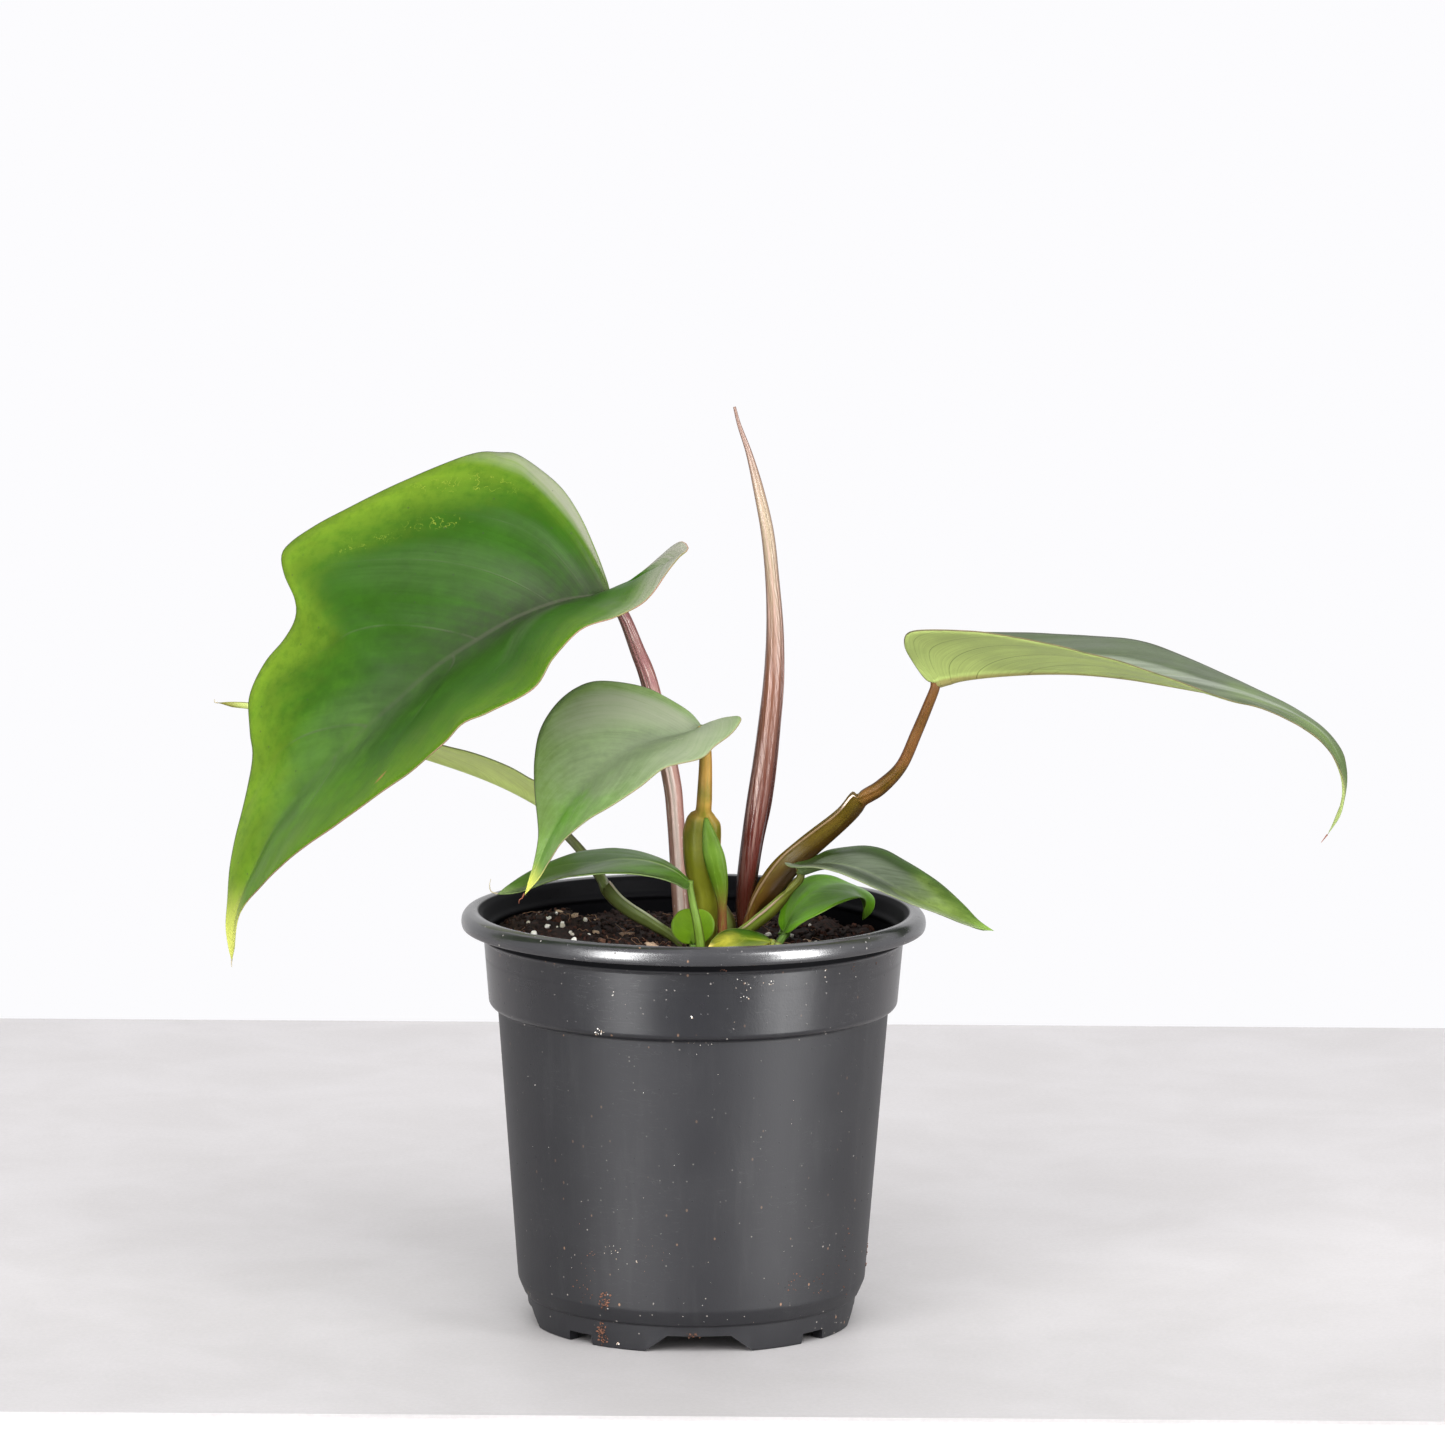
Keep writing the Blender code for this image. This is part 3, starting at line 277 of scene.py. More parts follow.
REAR_LEAF = {
    "midrib": [(-36.7, 22, 125.4), (-40, 23, 127), (-49.4, 27, 130.2), (-61, 31, 133.4), (-84.7, 38, 139),
               (-100, 42, 142.8), (-110.4, 45, 145.7), (-117, 47, 146.4), (-121.5, 48, 147)],
    "left": [(-34.7, 20, 126.6), (-33.6, 17, 128.9), (-36, 14, 131.6), (-40.2, 13, 133), (-46, 14, 136),
             (-54.8, 17, 139), (-63.7, 21, 140.7), (-79, 28, 143.6), (-97, 36, 146.4), (-107.6, 42, 147.6),
             (-113.7, 45, 147.6), (-118, 47, 147.4)],
    "right": [(-35, 24, 126.6), (-35, 29, 127.6), (-37.8, 33, 128), (-44.2, 37, 130), (-55.7, 41, 134.3),
              (-67.3, 44, 136.6), (-82.6, 47, 139.6), (-98, 49, 143.2), (-110.6, 49, 146.2)],
    "bulge": 1.0, "rows": 110, "columns": 14, "veins": 8, "pillow": 0.12, "wave": 0.2,
}
LEFT_LOW_LEAF = {
    "midrib": [(-0.9, -12, 112), (-5.3, -12, 115), (-10.5, -11, 116.6), (-16.7, -11, 117),
               (-22.8, -11, 115.8),
               (-29, -11, 114), (-35, -12, 112.4), (-42.6, -13, 110), (-48.2, -14, 108.6)],
    "left": [(-1.6, -16, 110.5), (-4.3, -19, 112.3), (-8.4, -22, 114.2), (-14.5, -24, 115.5),
             (-20.6, -25, 115.8), (-26.6, -25, 115.3), (-32.8, -23, 114.2), (-38, -20, 112),
             (-43, -17, 109.7)],
    "right": [(-2.9, -7, 113), (-6.7, -2, 115.2), (-13, 1, 117), (-19, 2, 117.7), (-23.8, 2, 117.4),
              (-29.2, 1, 116.8), (-35.5, -2, 115), (-41.3, -6, 112.6), (-45.6, -11, 110.4)],
    "bulge": 0.6, "rows": 90, "columns": 14, "veins": 7, "pillow": 0.1, "wave": 0.15,
}
RIGHT_LOW_LEAF = {
    "midrib": [(26.1, -8, 114.6), (33.7, -8, 115.7), (41, -9, 114), (47.2, -10, 111), (54, -11, 107.6),
               (63.2, -13, 103.8), (69, -14, 101.5), (73.7, -15, 100.5)],
    "left": [(24.4, -5, 115), (25.4, -2, 115.2), (28.4, 0, 115.6), (33, 3, 117.4), (38.4, 5, 118),
             (43, 5, 118.2), (47.5, 4, 117.4), (52.2, 2, 115.2), (56.6, -1, 113), (61.2, -4, 110.2),
             (66.5, -9, 106), (70, -12, 102.7)],
    "right": [(23.6, -11, 116), (22.3, -14, 117), (24, -17, 116.5), (30, -20, 116.9), (35.2, -22, 116.1),
              (40.8, -23, 113.9), (47, -23, 111), (53.8, -22, 108), (60.7, -20, 105.3), (66.7, -18, 102.6)],
    "bulge": 0.8, "rows": 90, "columns": 14, "veins": 7, "pillow": 0.1, "wave": 0.15,
}
BRIGHT_LEAF = {
    "midrib": [(22, 0, 97), (25, 3, 102.8), (30, 6, 107), (36.3, 9, 108), (41.8, 11, 105.6),
               (43.4, 12, 101.4),
               (42, 12, 98.2)],
    "left": [(21, 2, 99.4), (21.4, 4, 101.6), (22, 7, 104.6), (25, 11, 107.5), (29.4, 14, 109.3),
             (34, 16, 109), (38.7, 17, 107), (43.4, 16, 105), (45.2, 14.5, 103), (44.5, 13, 100.2)],
    "right": [(23.8, -3, 97.8), (27, -6, 100.8), (31.6, -7, 103.5), (36, -5, 105.5), (40.8, -1, 106.3),
              (42.7, 4, 104.5), (42.3, 9, 101)],
    "bulge": 0.6, "rows": 70, "columns": 12, "veins": 6, "pillow": 0.08, "wave": 0.1,
}
ROUND_LEAF = {
    "midrib": [(0, -8.5, 95.6), (-0.2, -8.2, 99.5), (-0.3, -6.8, 104)],
    "left": [(-2.5, -8.8, 95.8), (-4.8, -8.6, 97.8), (-5.5, -8, 100.5), (-4, -7.2, 103.2),
             (-2, -6.9, 104.1)],
    "right": [(2.5, -8.8, 95.8), (4.6, -8.6, 98), (5.2, -8, 100.8), (4, -7.2, 103), (2, -6.9, 104)],
    "bulge": 0.4, "rows": 40, "columns": 10, "veins": 4, "pillow": 0.04, "wave": 0.05,
}
YELLOW_LEAF = {
    "midrib": [(19.4, -9.5, 96.5), (15, -11.5, 97.3), (10, -13, 98), (6, -14.5, 97), (3.6, -15.8, 96)],
    "left": [(17.5, -13, 96), (14, -16.5, 95.8), (9.5, -18.8, 95.8), (5.5, -18, 95.7)],
    "right": [(17.8, -8.8, 97.8), (16, -8.6, 98.6), (12.4, -9.4, 99.6), (9, -10, 99.7), (6.5, -11.5, 99),
              (4.6, -13.8, 97.6)],
    "bulge": 0.5, "rows": 44, "columns": 10, "veins": 5, "pillow": 0.06, "wave": 0.08,
}
LEAVES = {
    "large_leaf": LARGE_LEAF, "front_leaf": FRONT_LEAF, "right_leaf": RIGHT_LEAF, "rear_leaf": REAR_LEAF,
    "left_low_leaf": LEFT_LOW_LEAF, "right_low_leaf": RIGHT_LOW_LEAF, "bright_leaf": BRIGHT_LEAF,
    "round_leaf": ROUND_LEAF, "yellow_leaf": YELLOW_LEAF,
}

# Dried threads at the ends of blades: each one's tint (0 red, 1 straw) and its path
THREADS = [
    (1.0, [(-114.0, -4.0, 90.2), (-114.1, -4.0, 89.1), (-114.0, -4.0, 88.2)]),
    (0.0, [(-41.0, -30.0, 111.5), (-41.5, -30.1, 110.4), (-42.2, -30.2, 109.9), (-42.3, -30.2, 109.0)]),
    (0.0, [(155.5, -9.0, 124.0), (154.6, -9.0, 122.8), (154.0, -9.0, 122.0)]),
    (1.0, [(-121.2, 48.0, 147.0), (-122.0, 48.0, 147.1), (-122.2, 48.0, 147.9)]),
    (1.0, [(-48.0, -14.0, 108.7), (-49.6, -14.2, 109.3), (-50.0, -14.2, 110.9), (-49.7, -14.0, 112.4)]),
]
THREAD_RADIUS = 0.2
THREAD_TIP_RADIUS = 0.06
THREAD_RINGS = 14

# How each leaf is coloured: by the midrib, over the blade, towards its left and right margins, far
# along it and at its tip, then its underside with its veins, and its thin left and right edges.
# Reaches are in millimetres. A patch of painted sheen (pale colour standing in for gloss), or of pale
# flecks, is given by its middle across the blade (-1 left margin, 1 right margin) and along its
# veins' order (0 base, 1 tip), its two reaches and its strength. Scars are patches too. What a leaf
# doesn't have is left out.
LEAF_SKINS = {
    # The large leaf's left_light, near its left margin, is partly its own yellow-green and partly painted
    # light shining through the blade.
    "large_leaf": {
        "slot": "leaf_green", "deep": (0.028, 0.032, 0.021), "mid": (0.017, 0.062, 0.002),
        "left_light": (0.072, 0.146, 0.006), "right_light": (0.132, 0.222, 0.013),
        "far": (0.040, 0.112, 0.004), "tip": (0.44, 0.46, 0.10), "painted_sheen": (0.225, 0.218, 0.185),
        "painted_sheens": [(0.80, 0.185, 0.42, 0.135, 0.78), (-0.85, 0.12, 0.80, 0.26, 1.0),
                   (0.32, 0.46, 0.40, 0.05, 0.05), (0.36, 0.60, 0.46, 0.08, 0.06),
                   (-0.30, 0.60, 0.30, 0.05, 0.10), (0.0, 0.86, 0.50, 0.10, 0.08)],
        "scars": [(-0.82, 0.71, 0.03, 0.006, 0.7)],
        "flecks": [(0.82, 0.375, 0.16, 0.045, 0.9), (0.66, 0.50, 0.10, 0.03, 0.8),
                   (0.76, 0.545, 0.10, 0.03, 0.4)],
        "fleck": (0.22, 0.26, 0.03),
        "under": (0.200, 0.300, 0.075), "under_vein": (0.10, 0.15, 0.035),
        "left_edge": (0.26, 0.15, 0.10), "right_edge": (0.045, 0.050, 0.035),
        "rib": (0.066, 0.068, 0.046), "rib_reach": 20.0, "edge_reach": 22.0, "roughness": 0.42},
    # The front leaf's grey-green colours are its green with painted sheen mixed in.
    "front_leaf": {
        "slot": "leaf_grey_green", "deep": (0.160, 0.190, 0.124), "mid": (0.160, 0.214, 0.106),
        "left_light": (0.116, 0.190, 0.055), "right_light": (0.135, 0.212, 0.057),
        "far": (0.088, 0.205, 0.026), "tip": (0.56, 0.58, 0.12), "painted_sheen": (0.235, 0.255, 0.180),
        "painted_sheens": [(0.45, 0.50, 0.55, 0.22, 0.9), (-0.70, 0.38, 0.60, 0.32, 0.65)],
        "flecks": [(-0.30, 0.60, 0.20, 0.10, 0.5)], "fleck": (0.30, 0.30, 0.24),
        "under": (0.240, 0.300, 0.120), "under_vein": (0.12, 0.16, 0.05),
        "left_edge": (0.24, 0.20, 0.11), "right_edge": (0.10, 0.10, 0.07),
        "rib": (0.145, 0.180, 0.110), "rib_reach": 10.0, "edge_reach": 12.0, "roughness": 0.42},
    # The right leaf's under colour is partly its own and partly painted light shining through the blade.
    "right_leaf": {
        "slot": "leaf_light_green", "deep": (0.047, 0.062, 0.032), "mid": (0.054, 0.074, 0.036),
        "left_light": (0.050, 0.074, 0.028), "right_light": (0.054, 0.074, 0.031),
        "far": (0.095, 0.140, 0.045), "tip": (0.25, 0.31, 0.110), "painted_sheen": (0.24, 0.27, 0.21),
        "painted_sheens": [(-0.32, 0.78, 0.20, 0.20, 0.7), (-0.8, 0.6, 0.4, 0.2, 0.1)],
        "under": (0.375, 0.460, 0.145), "under_vein": (0.13, 0.18, 0.045),
        "under_rib": (0.20, 0.10, 0.045),
        "left_edge": (0.13, 0.11, 0.06), "right_edge": (0.15, 0.12, 0.06),
        "rib": (0.22, 0.26, 0.08), "rib_reach": 10.0, "edge_reach": 10.0, "roughness": 0.40},
    "rear_leaf": {
        "slot": "leaf_light_green", "deep": (0.120, 0.180, 0.060), "mid": (0.150, 0.230, 0.065),
        "left_light": (0.170, 0.260, 0.070), "right_light": (0.170, 0.260, 0.070),
        "far": (0.18, 0.26, 0.07), "tip": (0.15, 0.14, 0.02),
        "under": (0.630, 0.740, 0.250), "under_vein": (0.52, 0.62, 0.20),
        "left_edge": (0.22, 0.21, 0.10), "right_edge": (0.20, 0.20, 0.10),
        "rib": (0.42, 0.50, 0.16), "rib_reach": 8.0, "edge_reach": 8.0, "roughness": 0.42},
    "left_low_leaf": {
        "slot": "leaf_green", "deep": (0.046, 0.104, 0.014), "mid": (0.056, 0.124, 0.017),
        "left_light": (0.013, 0.017, 0.004), "right_light": (0.050, 0.130, 0.008),
        "far": (0.05, 0.10, 0.012), "tip": (0.14, 0.20, 0.07),
        "painted_sheen": (0.14, 0.17, 0.10), "painted_sheens": [(-0.6, 0.75, 0.6, 0.2, 0.4)],
        "under": (0.160, 0.240, 0.070), "under_vein": (0.10, 0.17, 0.04),
        "left_edge": (0.16, 0.22, 0.08), "right_edge": (0.10, 0.15, 0.05),
        "rib": (0.27, 0.36, 0.11), "rib_reach": 6.0, "edge_reach": 6.0, "roughness": 0.38},
    "right_low_leaf": {
        "slot": "leaf_green", "deep": (0.013, 0.024, 0.004), "mid": (0.014, 0.028, 0.004),
        "left_light": (0.031, 0.070, 0.009), "right_light": (0.135, 0.166, 0.098),
        "far": (0.140, 0.205, 0.042), "tip": (0.16, 0.26, 0.05),
        "painted_sheen": (0.130, 0.155, 0.110), "painted_sheens": [(-0.2, 0.70, 0.5, 0.25, 0.6)],
        "under": (0.160, 0.230, 0.085), "under_vein": (0.10, 0.15, 0.05),
        "left_edge": (0.13, 0.16, 0.07), "right_edge": (0.18, 0.20, 0.11),
        "rib": (0.13, 0.17, 0.08), "rib_reach": 6.0, "edge_reach": 6.0, "roughness": 0.38},
    "bright_leaf": {
        "slot": "leaf_bright_green", "deep": (0.082, 0.220, 0.006), "mid": (0.106, 0.274, 0.008),
        "left_light": (0.090, 0.240, 0.008), "right_light": (0.126, 0.315, 0.011),
        "far": (0.078, 0.192, 0.009), "tip": (0.10, 0.20, 0.02),
        "painted_sheen": (0.14, 0.2, 0.08), "painted_sheens": [(-0.3, 0.6, 0.4, 0.15, 0.4)],
        "under": (0.080, 0.170, 0.020), "under_vein": (0.05, 0.11, 0.015),
        "left_edge": (0.18, 0.28, 0.06), "right_edge": (0.18, 0.28, 0.06),
        "rib": (0.11, 0.20, 0.04), "rib_reach": 6.0, "edge_reach": 5.0, "roughness": 0.36},
    "round_leaf": {
        "slot": "leaf_bright_green", "deep": (0.077, 0.154, 0.004), "mid": (0.088, 0.175, 0.004),
        "left_light": (0.100, 0.196, 0.006), "right_light": (0.100, 0.196, 0.006),
        "far": (0.10, 0.19, 0.006), "tip": (0.08, 0.15, 0.01),
        "under": (0.100, 0.190, 0.020), "under_vein": (0.07, 0.14, 0.015),
        "left_edge": (0.14, 0.22, 0.03), "right_edge": (0.14, 0.22, 0.03),
        "rib": (0.12, 0.21, 0.03), "rib_reach": 2.0, "edge_reach": 2.0, "roughness": 0.36},
    "yellow_leaf": {
        "slot": "leaf_yellow", "deep": (0.110, 0.145, 0.005), "mid": (0.027, 0.066, 0.002),
        "left_light": (0.150, 0.158, 0.004), "right_light": (0.010, 0.030, 0.003),
        "far": (0.33, 0.31, 0.035), "tip": (0.62, 0.50, 0.14),
        "painted_sheen": (0.30, 0.32, 0.10), "painted_sheens": [(-0.5, 0.5, 0.6, 0.4, 0.3)],
        "under": (0.300, 0.300, 0.040), "under_vein": (0.20, 0.22, 0.03),
        "left_edge": (0.46, 0.36, 0.08), "right_edge": (0.16, 0.22, 0.04),
        "rib": (0.26, 0.30, 0.04), "rib_reach": 2.0, "edge_reach": 4.0, "roughness": 0.36},
}
LEAF_SHINE = 0.07
SCAR_COLOUR = (0.24, 0.10, 0.04)

# A stalk's stations run from its root up: x, y, z, half width across, depth of its outer side and
# depth of its inner side. A negative inner depth is the channel of a sheath. The inner side faces
# the direction given, which is mostly towards the middle of the plant. An ear is the flared end of
# a sheath: where it is along the stalk, its reach, and how far it stands inwards and upwards.
STALKS = {
    "crown": {"inner": (0, 1, 0), "rings": 40, "ridges": 0.03, "stations": [
        (6, 4.5, 84, 4.0, 3.7, 3.7), (6, 4.5, 93, 4.2, 3.9, 3.9), (6, 4.5, 99, 4.2, 3.9, 3.9),
        (6, 4.5, 103, 2.2, 1.9, 1.9)]},
    "large_leaf_petiole": {"inner": (-1, 0.4, 0), "rings": 90, "ridges": 0.035, "stations": [
        (-2, 8.5, 87, 1.9, 1.6, 1.6), (-3.2, 9, 101.6, 2.1, 1.8, 1.8), (-4.7, 9.5, 123.6, 2.1, 1.8, 1.8),
        (-6.1, 10, 135.2, 2.2, 1.9, 1.9), (-11.2, 9.5, 157.3, 2.1, 1.8, 1.8),
        (-14.4, 7, 166.5, 1.8, 1.5, 1.5),
        (-17.6, 4, 175, 1.5, 1.2, 1.2), (-20.4, 0.7, 179.9, 1.3, 1.0, 1.0)]},
    "front_leaf_petiole": {"inner": (0.1, 1, 0), "rings": 130, "ridges": 0.03, "stations": [
        (3.5, -2.5, 87, 1.5, 1.3, 1.3), (3.4, -2.6, 94.5, 1.7, 1.4, 1.2), (3.3, -2.4, 100, 2.6, 2.0, -0.4),
        (2.9, -2.2, 107, 3.4, 2.6, -1.3), (2.0, -2.6, 114, 4.2, 2.9, -1.6), (1.9, -2.8, 121, 4.6, 2.6, -1.2),
        (2.1, -3.4, 124.0, 4.4, 2.3, -1.0), (2.1, -3.9, 125.8, 3.9, 2.0, -0.8),
        (2.2, -4.3, 127.0, 3.1, 1.7, -0.3),
        (2.3, -4.7, 127.8, 2.3, 1.5, 0.5), (2.3, -5.0, 128.5, 1.8, 1.4, 1.2),
        (2.5, -5.9, 132, 1.7, 1.4, 1.4), (2.7, -6.5, 141.3, 1.4, 1.1, 1.1),
        (2.3, -6.8, 147, 1.3, 1.0, 1.0)]},
    "right_leaf_petiole": {"inner": (-1, 0, 1), "rings": 130, "ridges": 0.03,
                           "ear": (0.575, 0.030, 1.3, 1.2), "stations": [
        (12.5, -1.6, 88, 1.6, 1.4, 1.4), (13, -1.6, 97, 1.7, 1.6, 1.2), (13.6, -1.5, 103, 1.9, 2.2, -0.2),
        (16.2, -0.8, 109, 2.2, 4.6, -2.8), (20.4, 2, 114.7, 2.3, 5.3, -3.6),
        (26.2, 5, 119.4, 2.3, 4.9, -3.2),
        (33.5, 6, 124.9, 2.2, 4.2, -2.6), (37.6, 5.5, 128.3, 2.0, 3.7, -2.0),
        (39.7, 5.3, 129.9, 1.9, 3.1, -0.9),
        (41.4, 5.1, 131.0, 1.8, 2.6, 0.6), (46, 4, 133.4, 1.6, 1.9, 1.3), (51.1, 1.5, 138.9, 1.5, 1.2, 1.2),
        (54.7, -0.7, 147.6, 1.4, 1.1, 1.1), (57.3, -2.4, 154.4, 1.3, 1.0, 1.0),
        (58.9, -3.2, 158.8, 1.2, 0.9, 0.9)]},
    "rear_leaf_petiole": {"inner": (0.6, 0.4, 1), "rings": 110, "ridges": 0.03,
                          "ear": (0.485, 0.040, 0.8, 1.5), "stations": [
        (-2.6, 0, 88, 1.5, 1.2, 1.2), (-3.2, 0.4, 94.5, 1.6, 1.3, 1.2), (-9.3, 3, 99, 2.5, 2.0, -0.6),
        (-15.4, 6, 102.4, 3.0, 2.4, -1.0), (-20.4, 9, 106, 3.0, 2.2, -0.8),
        (-22.6, 11.2, 108.6, 1.6, 1.5, 0.6),
        (-28, 17, 114.2, 1.2, 0.9, 0.9), (-34.2, 21, 120.3, 1.1, 0.8, 0.8),
        (-36.9, 22, 124, 1.1, 0.8, 0.8)]},
    "left_low_leaf_petiole": {"inner": (1, 0, 0), "rings": 40, "ridges": 0.02, "stations": [
        (2.4, -13, 88, 1.2, 0.9, 0.9), (1.7, -13, 96.4, 1.2, 0.9, 0.9), (0.9, -13, 101.6, 1.1, 0.8, 0.8),
        (-0.1, -12.2, 106, 1.0, 0.7, 0.7), (-0.9, -12, 110.3, 0.9, 0.6, 0.6)]},
    "right_low_leaf_petiole": {"inner": (-1, 0, 1), "rings": 60, "ridges": 0.02, "stations": [
        (9.6, -6.2, 88, 1.2, 1.0, 1.0), (10.2, -6.3, 97, 1.3, 1.2, 0.8), (13.8, -6.7, 100.8, 1.6, 2.2, -1.0),
        (18, -7, 104.4, 1.6, 2.3, -1.1), (21.6, -7.4, 107.7, 1.4, 1.8, -0.4),
        (24, -7.8, 109.6, 1.0, 0.8, 0.8),
        (25.5, -8, 111.2, 1.0, 0.8, 0.8), (26.3, -8, 112.5, 1.0, 0.7, 0.7)]},
    "bright_leaf_petiole": {"inner": (-1, 0, 1), "rings": 20, "ridges": 0.02, "stations": [
        (17.5, -1.2, 88.5, 1.1, 0.8, 0.8), (19.8, -0.6, 92.5, 1.1, 0.8, 0.8),
        (22.2, 0, 96.3, 1.0, 0.7, 0.7)]},
    "round_leaf_petiole": {"inner": (0, -1, 0), "rings": 16, "ridges": 0.02, "stations": [
        (0.2, -8, 88.5, 0.9, 0.6, 0.6), (0.1, -8.1, 92, 0.9, 0.6, 0.6), (0, -8.3, 95.1, 0.8, 0.5, 0.5)]},
    "yellow_leaf_petiole": {"inner": (-1, 0, 1), "rings": 20, "ridges": 0.02, "stations": [
        (23, -6.6, 88.5, 0.9, 0.7, 0.7), (22.4, -8.2, 92.5, 0.9, 0.7, 0.7), (21.4, -8.9, 95, 0.9, 0.7, 0.7),
        (19.7, -9.2, 95.9, 0.8, 0.6, 0.6)]},
    "cataphyll": {"inner": (0, 1, 0), "rings": 60, "ridges": 0.03, "stations": [
        (7.2, -6, 88, 0.9, 0.7, 0.7), (7.1, -6.2, 98.7, 1.0, 0.7, 0.7), (7, -6.6, 105, 1.0, 0.7, 0.7),
        (6.5, -7.2, 110, 1.8, 0.8, 0.7), (5.4, -7.8, 115.5, 2.4, 0.9, 0.7),
        (4.4, -8.2, 119.5, 2.2, 0.8, 0.6),
        (3.3, -8.5, 124.5, 1.1, 0.5, 0.3), (2.9, -8.5, 127, 0.3, 0.1, 0.1)]},
}
ROLLED_LEAF = {"inner": (-1, 0, 0), "rings": 200, "stations": [
    (12.8, 4.6, 87, 1.6, 1.3, 1.3), (12.6, 4.6, 97, 1.8, 1.5, 1.5), (12.6, 4.5, 103.7, 2.2, 1.9, 1.9),
    (13.2, 4, 110.5, 2.5, 2.2, 2.2), (14.4, 3.5, 120, 2.7, 2.4, 2.4), (15.9, 3, 129.7, 3.0, 2.7, 2.7),
    (17.2, 2.5, 139, 2.9, 2.6, 2.6), (18.3, 2, 149, 2.7, 2.4, 2.4), (19.3, 2, 160, 2.5, 2.2, 2.2),
    (19.5, 2, 172, 2.1, 1.8, 1.8), (18.8, 3, 184, 1.7, 1.4, 1.4), (17.5, 3, 196, 1.6, 1.3, 1.3),
    (15.3, 4, 206.5, 1.3, 1.0, 1.0), (12.9, 5, 215.5, 0.8, 0.5, 0.5), (10.4, 6, 222.5, 0.4, 0.2, 0.2),
    (9.2, 6, 227, 0.2, 0.05, 0.05)]}

# A stalk's section has fine ripples round its outer side and a keel opposite a channel. Its two
# edges are rounded, and an ear is highest from these shares of the half width outwards.
STALK_STEPS = 20
RIPPLES = (9, 17)
KEEL = 0.08
KEEL_REACH = 0.5
EDGE_HALF = 0.3
EDGE_STEPS = 3
EDGE_TURN = 0.65
EDGE_BULGE = 0.18
EAR_REACH = 0.8
EAR_DROP = 0.35
EAR_FROM = 0.35
EAR_FULL = 0.75

# The new leaf is rolled round itself: a spiral whose outer edge is a step
ROLL_TURN_STEPS = 48
ROLL_STEP = 0.16
ROLL_TWIST = 2.2
ROLL_START = 4.1
# Where round the rolled leaf its painted highlight lies, as a share of a turn
ROLL_LIGHT = 0.065
ROLL_RIPPLE = 0.018
ROLL_RIPPLES_ROUND = 11
ROLL_RIPPLES_ALONG = 14

# How each stalk is coloured: at its root, over most of it and at its top, and its streaks and edges.
# Some say where the root's colour ends, how much painted shade darkens their flanks, or how
# strong a painted glint runs down their front.
YOUNG_STALK = {
    "slot": "stalk_green", "root": (0.13, 0.20, 0.04), "middle": (0.15, 0.26, 0.05),
    "top": (0.14, 0.26, 0.05), "streak": (0.22, 0.33, 0.09), "edge": (0.22, 0.30, 0.09)}
STALK_SKINS = {
    "crown": {
        "slot": "stalk_green", "root": (0.10, 0.08, 0.03), "middle": (0.16, 0.20, 0.05),
        "top": (0.17, 0.22, 0.05), "streak": (0.22, 0.24, 0.09), "edge": (0.24, 0.20, 0.09)},
    "large_leaf_petiole": {
        "slot": "stalk_brown", "root": (0.42, 0.25, 0.20), "middle": (0.42, 0.23, 0.19),
        "top": (0.27, 0.12, 0.12), "streak": (0.84, 0.74, 0.68), "edge": (0.30, 0.18, 0.12), "painted_glint": 0.6},
    "front_leaf_petiole": {
        "slot": "stalk_olive", "root": (0.22, 0.225, 0.022), "middle": (0.16, 0.17, 0.012),
        "top": (0.40, 0.235, 0.048), "streak": (0.18, 0.19, 0.02), "edge": (0.34, 0.22, 0.13), "flank": 0.6},
    "right_leaf_petiole": {
        "slot": "stalk_olive", "root": (0.09, 0.036, 0.01), "middle": (0.066, 0.042, 0.002),
        "top": (0.14, 0.058, 0.015), "streak": (0.11, 0.085, 0.008), "edge": (0.20, 0.13, 0.07)},
    "rear_leaf_petiole": {
        "slot": "stalk_green", "root": (0.085, 0.11, 0.02), "middle": (0.15, 0.195, 0.05),
        "top": (0.105, 0.115, 0.05), "streak": (0.20, 0.245, 0.085), "edge": (0.60, 0.62, 0.42)},
    "left_low_leaf_petiole": {
        "slot": "stalk_green", "root": (0.09, 0.16, 0.014), "middle": (0.11, 0.19, 0.02),
        "top": (0.12, 0.20, 0.03), "streak": (0.16, 0.25, 0.05), "edge": (0.18, 0.26, 0.08)},
    "right_low_leaf_petiole": {
        "slot": "stalk_green", "root": (0.10, 0.13, 0.016), "middle": (0.11, 0.15, 0.018),
        "top": (0.12, 0.13, 0.018), "streak": (0.16, 0.19, 0.04), "edge": (0.36, 0.24, 0.19)},
    "bright_leaf_petiole": YOUNG_STALK,
    "round_leaf_petiole": YOUNG_STALK,
    "yellow_leaf_petiole": {
        "slot": "stalk_green", "root": (0.20, 0.20, 0.05), "middle": (0.26, 0.28, 0.06),
        "top": (0.20, 0.26, 0.06), "streak": (0.36, 0.36, 0.12), "edge": (0.36, 0.34, 0.12)},
    "cataphyll": {
        "slot": "leaf_bright_green", "root": (0.15, 0.055, 0.02), "middle": (0.075, 0.15, 0.008),
        "top": (0.085, 0.165, 0.014), "streak": (0.13, 0.22, 0.03), "edge": (0.42, 0.46, 0.26),
        "root_end": 0.62, "flank": 0.2},
}
STALK_SHINE = 0.10
# The colour that painted shade multiplies into the left and right sides of stalks
PAINTED_FLANK_SHADE = (0.42, 0.30, 0.27)
EAR_COLOUR = (0.66, 0.52, 0.44)
# shine is the colour of the rolled leaf's pale streaks and painted highlight, and of its pale outer edge
ROLLED_SKIN = {"root": (0.070, 0.020, 0.012), "low": (0.085, 0.014, 0.009), "middle": (0.160, 0.066, 0.040),
               "high": (0.330, 0.260, 0.175), "tip": (0.220, 0.136, 0.105), "shine": (0.50, 0.33, 0.28)}


